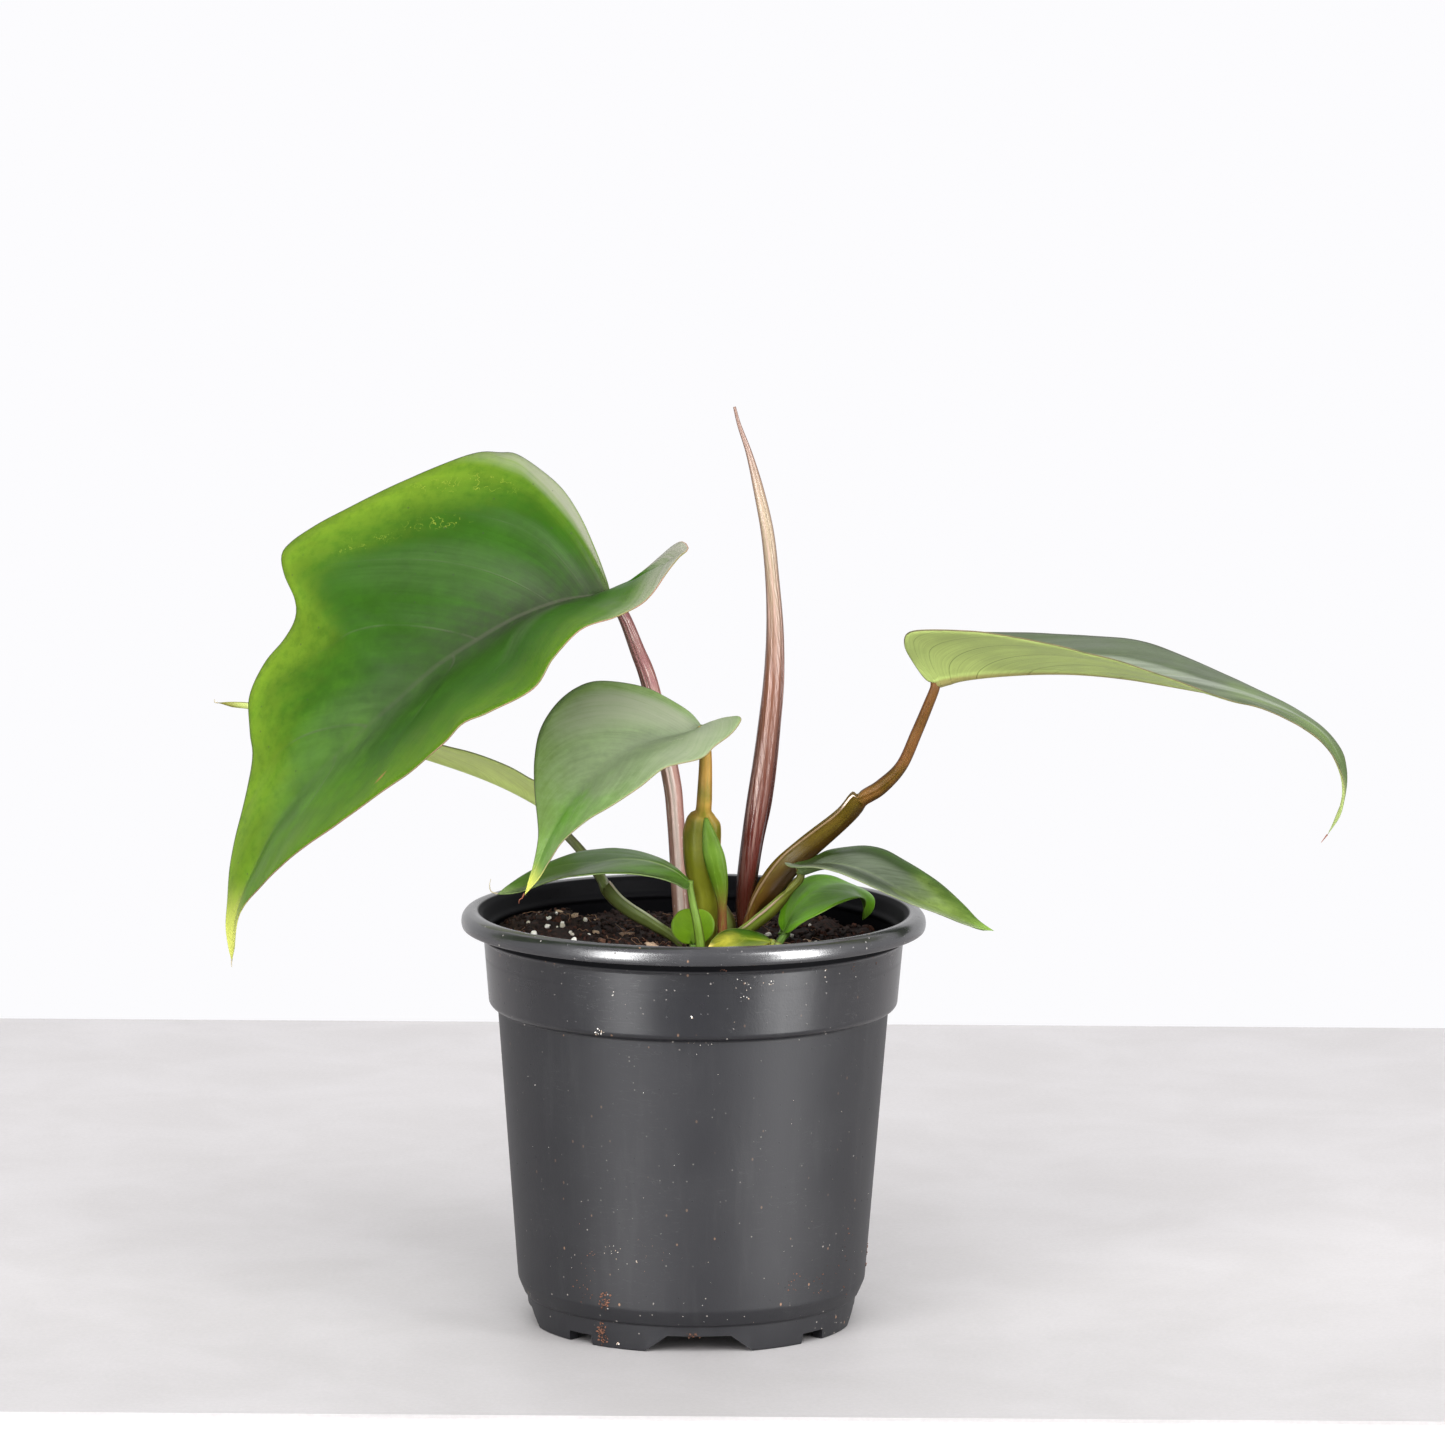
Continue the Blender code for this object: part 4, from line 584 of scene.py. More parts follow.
class Finish:
    """One material, built node by node round its Principled shader. paint() adds to its colour."""

    def __init__(self, name, **sockets):
        self.material = bpy.data.materials.new(name)
        self.material.use_nodes = True
        self.tree = self.material.node_tree
        self.shader = self.tree.nodes["Principled BSDF"]
        self.colour = (1.0, 1.0, 1.0)
        for socket, value in sockets.items():
            self.set(socket.replace("_", " "), value)

    def feed(self, socket, value):
        if isinstance(value, bpy.types.NodeSocket):
            self.tree.links.new(value, socket)
        elif isinstance(value, tuple) and socket.type == "RGBA":
            socket.default_value = (*value, 1.0)
        else:
            socket.default_value = value

    def set(self, socket, value):
        self.feed(self.shader.inputs[socket], value)

    def add(self, kind, inputs, output=0, **settings):
        made = self.tree.nodes.new(kind)
        for setting, value in settings.items():
            setattr(made, setting, value)
        for key, value in inputs.items():
            self.feed(made.inputs[key], value)
        return made.outputs[output]

    def math(self, operation, *values):
        return self.add("ShaderNodeMath", dict(enumerate(values)), operation=operation)

    def total(self, first, *others):
        for other in others:
            first = self.math("ADD", first, other)
        return first

    def times(self, first, *others):
        for other in others:
            first = self.math("MULTIPLY", first, other)
        return first

    def mix(self, share, first, second, blend="MIX"):
        return self.add("ShaderNodeMix", {0: share, 6: first, 7: second}, output=2, data_type="RGBA",
                        blend_type=blend)

    def paint(self, share, colour):
        """Lay a colour over the colour so far. Its share says how thickly."""
        self.colour = self.mix(share, self.colour, colour)

    def shade(self, factor):
        """Lighten or darken the colour so far by a factor."""
        self.colour = self.mix(1.0, self.colour, self.joined(factor, factor, factor), "MULTIPLY")

    def finished(self):
        """Give the shader the colour so far and return the material."""
        self.set("Base Color", self.colour)
        return self.material

    def between(self, value, low, high, start=0.0, end=1.0):
        """Go smoothly from start to end as the value goes from low to high."""
        limits = {"Value": value, "From Min": low, "From Max": high, "To Min": start, "To Max": end}
        return self.add("ShaderNodeMapRange", limits, interpolation_type="SMOOTHSTEP")

    def sway(self, noise, low, high):
        """Go from low to high as a noise goes over its usual range."""
        return self.between(noise, 0.3, 0.7, low, high)

    def level(self, value, low, high, start=0.0, end=1.0):
        """Do what between() does for a length in metres, with its limits in millimetres."""
        return self.between(value, low * MM, high * MM, start, end)

    def off(self, value, middle):
        """Return how far a value is from a middle."""
        return self.math("ABSOLUTE", self.math("SUBTRACT", value, middle))

    def field(self, name):
        """Read a number that the mesh keeps at each of its points."""
        return self.add("ShaderNodeAttribute", {}, output="Fac", attribute_name=name)

    def place(self, stretch=(1.0, 1.0, 1.0)):
        here = self.add("ShaderNodeTexCoord", {}, output="Object")
        return self.add("ShaderNodeMapping", {"Vector": here, "Scale": stretch})

    def joined(self, x, y=0.0, z=0.0):
        return self.add("ShaderNodeCombineXYZ", {0: x, 1: y, 2: z})

    def noise(self, vector, scale, detail=3.0, roughness=0.5, distortion=0.0):
        return self.add("ShaderNodeTexNoise", {"Vector": vector, "Scale": scale, "Detail": detail,
                                               "Roughness": roughness, "Distortion": distortion})

    def specks(self, vector, size_mm, fill, chance):
        """Mark round specks, one to a cell of the given size, in a share of the cells."""
        cells = {"Vector": vector, "Scale": 1.0 / (size_mm * MM)}
        near = self.add("ShaderNodeTexVoronoi", cells)
        colour = self.add("ShaderNodeTexVoronoi", cells, output="Color")
        draw = self.add("ShaderNodeSeparateColor", {0: colour})
        chosen = self.math("LESS_THAN", draw, chance)
        return self.times(chosen, self.between(near, fill, fill * 0.5))

    def peaks(self, value, count, width):
        """Mark lines at each whole step of value times count."""
        phase = self.math("FRACT", self.times(value, count))
        return self.between(self.off(phase, 0.5), 0.5 - width, 0.5)

    def paint_flank_shade(self, share=1.0):
        """Paint shade along a stalk's left and right sides, darkening its colour there."""
        flank = self.mix(1.0, self.colour, PAINTED_FLANK_SHADE, "MULTIPLY")
        self.paint(self.between(self.field("flank"), 0.10, 0.75, 0.0, share), flank)

    def bump(self, height, distance_mm):
        self.set("Normal", self.add("ShaderNodeBump", {"Strength": 1.0, "Distance": distance_mm * MM,
                                                       "Height": height}))


def feature(size_mm):
    """Return the noise scale whose features have about this size."""
    return 1.0 / (size_mm * MM)


def pot_axis():
    """Return where the pot's axis stands in the frame, in metres."""
    low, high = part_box("pot")
    return np.array([(low[0] + high[0]) / 2, (low[1] + high[1]) / 2, 0.0])


def to_frame(points):
    """Turn millimetres from the pot's axis into the frame's metres."""
    return np.asarray(points, float).reshape(-1, 3) * MM + AXIS


def add_mesh(name, points, faces, fields=None):
    """Make an object from points in millimetres, with a number at each point for each field."""
    mesh = bpy.data.meshes.new(name)
    mesh.from_pydata(to_frame(points).tolist(), [], faces)
    for field, values in (fields or {}).items():
        layer = mesh.attributes.new(field, "FLOAT", "POINT")
        layer.data.foreach_set("value", np.asarray(values, np.float32).ravel())
    obj = bpy.data.objects.new(name, mesh)
    bpy.context.scene.collection.objects.link(obj)
    return obj


def weld(mesh, outwards=True):
    """Merge points that coincide and turn the faces outwards."""
    work = bmesh.new()
    work.from_mesh(mesh)
    bmesh.ops.remove_doubles(work, verts=work.verts, dist=WELD_DISTANCE)
    if outwards:
        bmesh.ops.recalc_face_normals(work, faces=work.faces)
    work.to_mesh(mesh)
    work.free()


def finish_piece(obj, materials, replaced=()):
    """Give a piece its materials, hang it on the one body and hide the parts it stands in for."""
    for material in materials:
        obj.data.materials.append(material)
    obj.data.shade_smooth()
    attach(obj, "root")
    if replaced:
        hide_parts(*replaced)
    return obj


def grid_faces(rows, columns, closed=False):
    """Join points that are numbered row by row with four-sided faces."""
    faces = []
    for row in range(rows - 1):
        low, high = row * columns, (row + 1) * columns
        for column in range(columns if closed else columns - 1):
            after = (column + 1) % columns
            faces.append((low + column, low + after, high + after, high + column))
    return faces


def smooth_rows(rows, count):
    """Spread rows (x, y, z and any more values) evenly along a smooth curve through the given ones."""
    rows = np.array(rows, float)
    padded = np.vstack([2 * rows[0] - rows[1], rows, 2 * rows[-1] - rows[-2]])
    dense = []
    for before, start, end, after in zip(padded, padded[1:], padded[2:], padded[3:]):
        for u in np.linspace(0, 1, FINE_STEPS, endpoint=False):
            dense.append(0.5 * (2 * start + (end - before) * u
                                + (2 * before - 5 * start + 4 * end - after) * u ** 2
                                + (3 * start - before - 3 * end + after) * u ** 3))
    dense.append(rows[-1])
    dense = np.array(dense)
    steps = np.linalg.norm(np.diff(dense[:, :3], axis=0), axis=1)
    travelled = np.concatenate([[0.0], np.cumsum(steps)])
    wanted = np.linspace(0, travelled[-1], count)
    return np.column_stack([np.interp(wanted, travelled, column) for column in dense.T])


def unit(vectors):
    """Scale one vector or many to length one."""
    lengths = np.linalg.norm(vectors, axis=-1, keepdims=True)
    return vectors / np.maximum(lengths, 1e-9)


def tube(path, radii, sides):
    """Return points and faces of a round tube along a path, closed at both ends."""
    path = np.asarray(path, float)
    slopes = unit(np.gradient(path, axis=0))
    across = unit(np.cross(slopes, NO_PATH))
    other = np.cross(slopes, across)
    turns = np.linspace(0, 2 * math.pi, sides, endpoint=False)
    cosines, sines = np.cos(turns)[None, :, None], np.sin(turns)[None, :, None]
    spokes = cosines * across[:, None] + sines * other[:, None]
    rings = path[:, None] + np.asarray(radii)[:, None, None] * spokes
    faces = grid_faces(len(path), sides, closed=True)
    last = (len(path) - 1) * sides
    faces.append(tuple(range(sides - 1, -1, -1)))
    faces.append(tuple(range(last, last + sides)))
    return rings.reshape(-1, 3), faces


def joined_shapes(shapes):
    """Put the points and faces of several shapes into one list each."""
    points, faces, start = [], [], 0
    for shape_points, shape_faces in shapes:
        points.append(shape_points)
        faces += [tuple(start + corner for corner in face) for face in shape_faces]
        start += len(shape_points)
    return np.vstack(points), faces


def blade_surface(leaf):
    """Return a blade's upper face as rows from the left margin over the midrib to the right one.

    Each row is a vein pair. With the points come their share along the leaf, their signed share
    across it, and how far they are from the midrib and from the margin.
    """
    along = np.linspace(0, 1, leaf["rows"] + 1)
    fine = smooth_rows(leaf["midrib"], 4 * leaf["rows"] + 1)
    slopes = unit(np.gradient(fine, axis=0))
    travelled = np.linspace(0, 1, len(fine))
    rising = along ** VEIN_SWEEP
    feet = np.column_stack([np.interp(rising, travelled, column) for column in fine.T])
    tangents = np.column_stack([np.interp(rising, travelled, column) for column in slopes.T])
    shares = (np.arange(1, leaf["columns"] + 1) / leaf["columns"]) ** COLUMN_CROWDING
    left, left_lengths = half_blade(leaf, "left", feet, tangents, shares)
    right, right_lengths = half_blade(leaf, "right", feet, tangents, shares)
    points = np.concatenate([left[:, ::-1], feet[:, None], right], axis=1)
    soften_fold(points, along)
    across = np.broadcast_to(np.concatenate([-shares[::-1], [0.0], shares]), points.shape[:2])
    length = np.where(across < 0, left_lengths[:, None], right_lengths[:, None])
    fields = {
        "along": np.broadcast_to(along[:, None], across.shape), "across": across,
        "from_rib": np.abs(across) * length, "from_edge": (1 - np.abs(across)) * length,
    }
    return points, fields


def half_blade(leaf, side, feet, tangents, shares):
    """Return one half's points, vein by vein from the midrib outwards, and its veins' lengths.

    A vein bulges upwards between its ends. In a curved lobe it also bends by the lobe's own bow.
    """
    vein = smooth_rows([leaf["midrib"][0], *leaf[side], leaf["midrib"][-1]], len(feet)) - feet
    along = np.linspace(0, 1, len(feet))[:, None]
    upward = np.cross(tangents, vein) if side == "left" else np.cross(vein, tangents)
    lobe = np.sin(math.pi * np.minimum(1.0, along / LOBE_SHARE))
    bow = leaf["bulge"] * np.sin(math.pi * along) * unit(upward)
    bow += lobe * np.array(leaf.get(side + "_lobe_bow", (0.0, 0.0, 0.0)))
    lift = 4 * shares * (1 - shares)
    points = feet[:, None] + shares[None, :, None] * vein[:, None] + lift[None, :, None] * bow[:, None]
    return points, np.linalg.norm(vein, axis=1)


def soften_fold(points, along):
    """Round the fold at the midrib. It is sharp at the leaf's base only."""
    share = 0.5 * np.clip((along - FOLD_START) / FOLD_REACH, 0, 1)[:, None, None]
    for _ in range(2 * points.shape[1]):
        middle = (points[:, :-2] + points[:, 2:]) / 2
        points[:, 1:-1] += share * (middle - points[:, 1:-1])


def blade_relief(leaf, points, fields):
    """Return how far each point of the upper face is raised: groove, pillows and waves."""
    along, across = fields["along"], fields["across"]
    reach = np.abs(across)
    ends = np.clip(np.minimum(along, 1 - along) / END_FADE, 0, 1)
    groove = -GROOVE_DEPTH * np.exp(-(fields["from_rib"] / GROOVE_HALF_WIDTH) ** 2)
    groove *= np.clip(1.2 - 1.8 * along, 0, 1)
    veins = along ** (1 / (1 + VEIN_LEAN * (1 - reach))) + SIDE_SHIFT * (across > 0)
    phase = np.abs((veins * leaf["veins"]) % 1.0 - 0.5) * 2
    pillows = -leaf["pillow"] * phase ** 3 * np.clip(4 * reach, 0, 1) * np.clip((1 - reach) * 5, 0.15, 1)
    waves = np.array([noise.noise(Vector(point) / BROAD_WAVE) + 0.5 * noise.noise(Vector(point) / FINE_WAVE)
                      for point in points.reshape(-1, 3)]).reshape(across.shape)
    return ends * (groove + pillows + leaf["wave"] * waves * reach)


def mesh_field(mesh, field):
    """Read back a number that a mesh keeps at each of its points."""
    values = np.empty(len(mesh.vertices), np.float32)
    mesh.attributes[field].data.foreach_get("value", values)
    return values


def raise_relief(mesh, relief):
    """Move each point of a mesh along its normal by its own number of millimetres."""
    normals = np.empty(3 * len(mesh.vertices), np.float32)
    mesh.vertex_normals.foreach_get("vector", normals)
    places = np.empty_like(normals)
    mesh.vertices.foreach_get("co", places)
    mesh.vertices.foreach_set("co", places + normals * np.repeat(relief, 3) * MM)
    mesh.update()


def thicken(obj, along, from_rib, from_edge):
    """Thicken a blade downwards, most along the midrib and least at its margin and tip."""
    thin = BLADE_THICKNESS / RIB_THICKNESS
    rib = np.exp(-(from_rib / RIB_HALF_WIDTH) ** 2) * (1 - along) ** RIB_FADE
    narrow = np.clip((from_rib + from_edge) / TIP_WIDTH, TIP_SHARE, 1)
    margin = np.clip(EDGE_SHARE + from_edge / EDGE_REACH, 0, 1)
    group = obj.vertex_groups.new(name="thickness")
    for index, share in enumerate((thin * margin + (1 - thin) * rib) * narrow):
        group.add([index], float(share), "REPLACE")
    solid = obj.modifiers.new("thickness", "SOLIDIFY")
    solid.thickness = RIB_THICKNESS * MM
    solid.offset = -1.0
    solid.vertex_group = group.name
    solid.material_offset = 1
    solid.material_offset_rim = 2


def add_blade(name, leaf):
    """Make a fine blade from its upper face."""
    points, fields = blade_surface(leaf)
    fields["relief"] = blade_relief(leaf, points, fields)
    obj = add_mesh(name, points, grid_faces(*fields["along"].shape), fields)
    weld(obj.data, outwards=False)
    raise_relief(obj.data, mesh_field(obj.data, "relief"))
    thicken(obj, *[mesh_field(obj.data, field) for field in ("along", "from_rib", "from_edge")])
    materials = [upper_finish(name), under_finish(name), rim_finish(name)]
    return finish_piece(obj, materials, [name + "_blade"])


class LeafFinish(Finish):
    """A blade's material. It reads what the blade's mesh keeps at each point."""

    def __init__(self, name, side, **sockets):
        super().__init__(f"{name}_{side}", Specular_IOR_Level=LEAF_SHINE, **sockets)
        self.skin = LEAF_SKINS[name]
        self.vein_count = LEAVES[name]["veins"]
        self.along, self.across = self.field("along"), self.field("across")
        self.from_rib, self.from_edge = self.field("from_rib"), self.field("from_edge")
        self.reach = self.math("ABSOLUTE", self.across)
        self.right = self.math("GREATER_THAN", self.across, 0.0)
        lean = self.math("MULTIPLY_ADD", self.reach, -VEIN_LEAN, 1 + VEIN_LEAN)
        self.veins = self.math("POWER", self.along, self.math("DIVIDE", 1.0, lean))

    def vein_noise(self, along, across, detail, roughness):
        """A noise drawn out along the veins, which leave the midrib aslant."""
        place = self.joined(self.times(self.veins, along), self.times(self.across, across))
        return self.noise(place, 1.0, detail, roughness)

    def margin(self, inner, outer):
        """Mark the blade's margin, up to its tip."""
        return self.times(self.between(self.from_edge, inner, outer), self.between(self.along, 0.96, 0.88))

    def from_middle(self, value, middle, reach):
        """Return how many reaches a value is from a middle."""
        return self.math("MULTIPLY_ADD", value, 1 / reach, -middle / reach)

    def patches(self, spots):
        """Mark soft patches, each with a middle across and along, two reaches and a strength."""
        marked = 0.0
        for middle_across, middle_along, reach_across, reach_along, strength in spots:
            sideways = self.from_middle(self.across, middle_across, reach_across)
            onwards = self.from_middle(self.veins, middle_along, reach_along)
            away = self.total(self.times(sideways, sideways), self.times(onwards, onwards))
            marked = self.total(self.between(away, 1.0, 0.0, 0.0, strength), marked)
        return marked


def upper_finish(name):
    """A leaf's upper face: dark round the midrib, lighter at its margins, with painted sheen and flecks."""
    made = LeafFinish(name, "upper")
    skin = made.skin
    place = made.place()
    cloud = made.noise(place, feature(14.0), detail=4.0, roughness=0.6)
    mottle = made.noise(place, feature(2.6), detail=4.0, roughness=0.65)
    streaks = made.vein_noise(60.0, 2.0, detail=4.0, roughness=0.6)
    paint_zones(made, cloud, mottle, streaks)
    paint_marks(made, place, mottle, streaks)
    ordered = made.total(made.veins, made.times(made.right, SIDE_SHIFT))
    fading = made.times(made.between(made.reach, 0.85, 0.2), made.between(cloud, 0.40, 0.60, 0.25, 1.0))
    main_vein = made.times(made.peaks(ordered, made.vein_count, 0.022), fading)
    made.paint(made.times(main_vein, 0.35), skin["rib"])
    made.paint(made.between(made.along, 0.90, 0.985), skin["tip"])
    rib = made.times(made.between(made.from_rib, 0.40, 0.10),
                     made.between(made.along, 0.80, 0.25, 0.06, 0.50))
    made.paint(rib, skin["rib"])
    made.paint(made.margin(0.28, 0.10), made.mix(made.right, skin["left_edge"], skin["right_edge"]))
    made.set("Roughness", made.total(made.sway(cloud, -0.05, 0.06), skin["roughness"]))
    fine_vein = made.peaks(ordered, made.vein_count * 7.0, 0.25)
    grain = made.noise(place, feature(0.35), detail=2.0)
    made.bump(made.total(made.times(fine_vein, 0.15), made.times(main_vein, -0.8),
                         made.times(grain, 0.25), made.times(mottle, 0.6)), 0.06)
    return made.finished()


def paint_zones(made, cloud, mottle, streaks):
    """Paint an upper face's broad zones, with borders that the noises make ragged."""
    skin = made.skin
    edge_reach, rib_reach = skin["edge_reach"], skin["rib_reach"]
    far = made.between(made.total(made.along, made.sway(cloud, -0.08, 0.08)), 0.55, 0.85)
    made.colour = made.mix(far, skin["mid"], skin["far"])
    broad = made.vein_noise(11.0, 1.3, detail=2.0, roughness=0.5)
    ragged = made.times(made.total(cloud, streaks, mottle, broad, broad), edge_reach * 0.40)
    near_edge = made.between(made.total(made.from_edge, ragged), edge_reach * 2.15, edge_reach * 0.55)
    # Lighter near the margins; on the large leaf's left side this is partly painted light shining through
    # the blade.
    made.paint(near_edge, made.mix(made.right, skin["left_light"], skin["right_light"]))
    ragged = made.total(made.from_rib, made.times(streaks, rib_reach * 0.8))
    near_rib = made.times(made.between(ragged, rib_reach * 1.4, rib_reach * 0.2),
                          made.between(made.along, 0.75, 0.35))
    made.paint(made.times(near_rib, 0.85), skin["deep"])
    made.paint(made.between(mottle, 0.40, 0.75, 0.0, 0.35), skin["mid"])
    made.shade(made.total(made.sway(streaks, -0.07, 0.07), made.sway(cloud, -0.12, 0.12),
                          made.sway(mottle, -0.06, 0.06), 1.0))


def paint_marks(made, place, mottle, streaks):
    """Paint an upper face's marks: painted sheen, pale flecks, scars and fine dark specks."""
    skin = made.skin
    # Painted sheen: pale patches that stand in for the gloss on the blade
    if "painted_sheens" in skin:
        painted_sheen = made.times(made.patches(skin["painted_sheens"]), made.between(streaks, 0.25, 0.65, 0.55, 1.0))
        made.paint(painted_sheen, skin["painted_sheen"])
    if "flecks" in skin:
        net = made.off(made.noise(place, feature(3.5), roughness=0.6), 0.5)
        fleck = made.times(made.patches(skin["flecks"]), made.between(mottle, 0.42, 0.56),
                           made.total(made.between(net, 0.020, 0.0),
                                      made.specks(place, 0.8, fill=0.34, chance=0.12)))
        made.paint(made.math("MINIMUM", fleck, 0.75), skin["fleck"])
    if "scars" in skin:
        made.paint(made.patches(skin["scars"]), SCAR_COLOUR)
    made.paint(made.times(made.specks(place, 2.4, fill=0.16, chance=0.10), 0.45), skin["deep"])


def under_finish(name):
    """A leaf's underside: lighter and duller, with fine dark veins."""
    made = LeafFinish(name, "under")
    skin = made.skin
    place = made.place()
    cloud = made.noise(place, feature(12.0), detail=4.0, roughness=0.6)
    streaks = made.vein_noise(110.0, 2.5, detail=3.0, roughness=0.6)
    # The underside's colour; on the right leaf it is partly painted light shining through the blade.
    made.colour = skin["under"]
    made.shade(made.total(made.sway(streaks, -0.08, 0.08), made.sway(cloud, -0.10, 0.10), 1.0))
    main_vein = made.peaks(made.veins, made.vein_count, 0.03)
    made.paint(made.times(main_vein, 0.55), skin["under_vein"])
    side_vein = made.peaks(made.veins, made.vein_count * 3.0, 0.05)
    made.paint(made.times(side_vein, 0.28), skin["under_vein"])
    under_rib = skin.get("under_rib", skin["under_vein"])
    made.paint(made.between(made.from_rib, 1.3, 0.4, 0.0, 0.6), under_rib)
    made.paint(made.between(made.along, 0.90, 0.995), skin["tip"])
    made.paint(made.margin(0.35, 0.12), skin["left_edge"])
    made.set("Roughness", made.total(made.sway(cloud, -0.05, 0.05), skin["roughness"] + 0.06))
    grain = made.noise(place, feature(0.3), detail=2.0)
    made.bump(made.total(made.times(main_vein, 0.8), made.times(side_vein, 0.4),
                         made.times(grain, 0.5)), 0.06)
    return made.finished()


def rim_finish(name):
    """The thin, clear margin that runs round a blade."""
    made = LeafFinish(name, "rim", Roughness=0.4)
    skin = made.skin
    cloud = made.noise(made.place(), feature(5.0))
    made.colour = made.mix(made.right, skin["left_edge"], skin["right_edge"])
    made.paint(made.between(cloud, 0.35, 0.7, 0.0, 0.6), skin["left_light"])
    made.paint(made.between(made.along, 0.88, 0.96), skin["tip"])
    return made.finished()


def stalk_section(row, steps, ridges, share, rise=0.0):
    """Return a stalk's cross-section, an outer half and an inner half that may be a channel."""
    half_width, outer, inner = row[3:6]
    turns = np.linspace(0, math.pi, steps + 1)
    ripple = 1 + ridges * np.cos(RIPPLES[0] * turns + 4 * share) + 0.5 * ridges * np.cos(RIPPLES[1] * turns)
    ripple += KEEL * np.clip(-inner, 0, 1) * np.exp(-((turns - math.pi / 2) / KEEL_REACH) ** 2)
    across = half_width * np.cos(turns)
    outside = np.column_stack([across * ripple, -outer * np.sin(turns) * ripple - EDGE_HALF])
    inside = np.column_stack([-across, inner * np.sin(turns) + EDGE_HALF])
    edge_turns = np.linspace(EDGE_TURN, -EDGE_TURN, EDGE_STEPS)
    edge_width = half_width + EDGE_BULGE * np.cos(edge_turns)
    left = np.column_stack([-edge_width, -EDGE_HALF * np.sin(edge_turns)])
    outline = np.vstack([outside, left, inside, -left])
    outline[:, 1] += rise * np.exp(-((half_width - np.abs(outline[:, 0])) / EAR_REACH) ** 2)
    return outline


def ear_rises(stalk):
    """Return how far a sheath's two edges stand out inwards and upwards at each ring."""
    where, reach, rise, lift = stalk.get("ear", (0.5, 0.03, 0.0, 0.0))
    away = np.linspace(0, 1, stalk["rings"]) - where
    reaches = np.where(away < 0, reach, reach * EAR_DROP)
    return np.exp(-(away / reaches) ** 2)[:, None] * (rise, lift)


def stalk_rings(stalk, steps, section):
    """Place a cross-section at each ring of a stalk. Return the points ring by ring."""
    rows = smooth_rows(stalk["stations"], stalk["rings"])
    slopes = unit(np.gradient(rows[:, :3], axis=0))
    rings = []
    for row, along, share, (rise, lift) in zip(rows, slopes, np.linspace(0, 1, len(rows)), ear_rises(stalk)):
        inward = np.array(stalk["inner"], float)
        inward = unit(inward - inward.dot(along) * along)
        across = np.cross(along, inward)
        outline = section(row, steps, stalk.get("ridges", 0.0), share, rise)
        outwards = np.abs(outline[:, :1]) / row[3]
        outwards = np.clip((outwards - EAR_FROM) / (EAR_FULL - EAR_FROM), 0, 1)
        raised = lift * outwards ** 2 * (3 - 2 * outwards) * along
        rings.append(row[:3] + outline[:, :1] * across + outline[:, 1:] * inward + raised)
    return np.array(rings), rows


def capped_loft(rings):
    """Join rings with faces and close both ends round a middle point."""
    count, around = rings.shape[:2]
    points = np.vstack([rings.reshape(-1, 3), rings[0].mean(axis=0), rings[-1].mean(axis=0)])
    faces = grid_faces(count, around, closed=True)
    low, high = len(points) - 2, len(points) - 1
    last = (count - 1) * around
    for step in range(around):
        after = (step + 1) % around
        faces.append((low, after, step))
        faces.append((high, last + step, last + after))
    return points, faces


def flanks(rings, rows):
    """Tell how far each point lies to its stalk's left or right, rather than in front or behind."""
    outward = unit(rings - rows[:, None, :3])
    return 1 - np.abs(outward[..., 1])


def with_ends(values, low=0.0, high=0.0):
    """Put the values of a loft's two closing points after those of its rings."""
    return np.concatenate([np.asarray(values, float).ravel(), [low, high]])


def stalk_fields(stalk, rings, rows):
    """Return the place along and round a stalk, and where its sheath's edges, ears and flanks are."""
    count, around = rings.shape[:2]
    along = np.broadcast_to(np.linspace(0, 1, count)[:, None], (count, around))
    turns = np.broadcast_to(np.linspace(0, 2 * math.pi, around, endpoint=False), (count, around))
    on_edge = np.zeros(around)
    on_edge[STALK_STEPS + 1:STALK_STEPS + 1 + EDGE_STEPS] = 1.0
    on_edge[-EDGE_STEPS:] = 1.0
    channel = np.clip(-rows[:, 5], 0, 1)
    rises, lifts = ear_rises(stalk).T
    edge = on_edge * np.clip(np.maximum(channel, lifts), 0, 1)[:, None]
    return {
        "along": with_ends(along, high=1.0), "edge": with_ends(edge),
        "ear": with_ends(on_edge * rises[:, None]), "flank": with_ends(flanks(rings, rows)),
        "cosine": with_ends(np.cos(turns)), "sine": with_ends(np.sin(turns)),
    }


def add_stalk(name, stalk, top=None):
    """Make a fine stalk. A petiole's top is carried on to the foot of its blade."""
    if top is not None:
        stations = stalk["stations"]
        stalk = {**stalk, "stations": [*stations, (*top, *stations[-1][3:])]}
    rings, rows = stalk_rings(stalk, STALK_STEPS, stalk_section)
    obj = add_mesh(name + "_fine", *capped_loft(rings), stalk_fields(stalk, rings, rows))
    weld(obj.data)
    return finish_piece(obj, [stalk_finish(name)], [name])


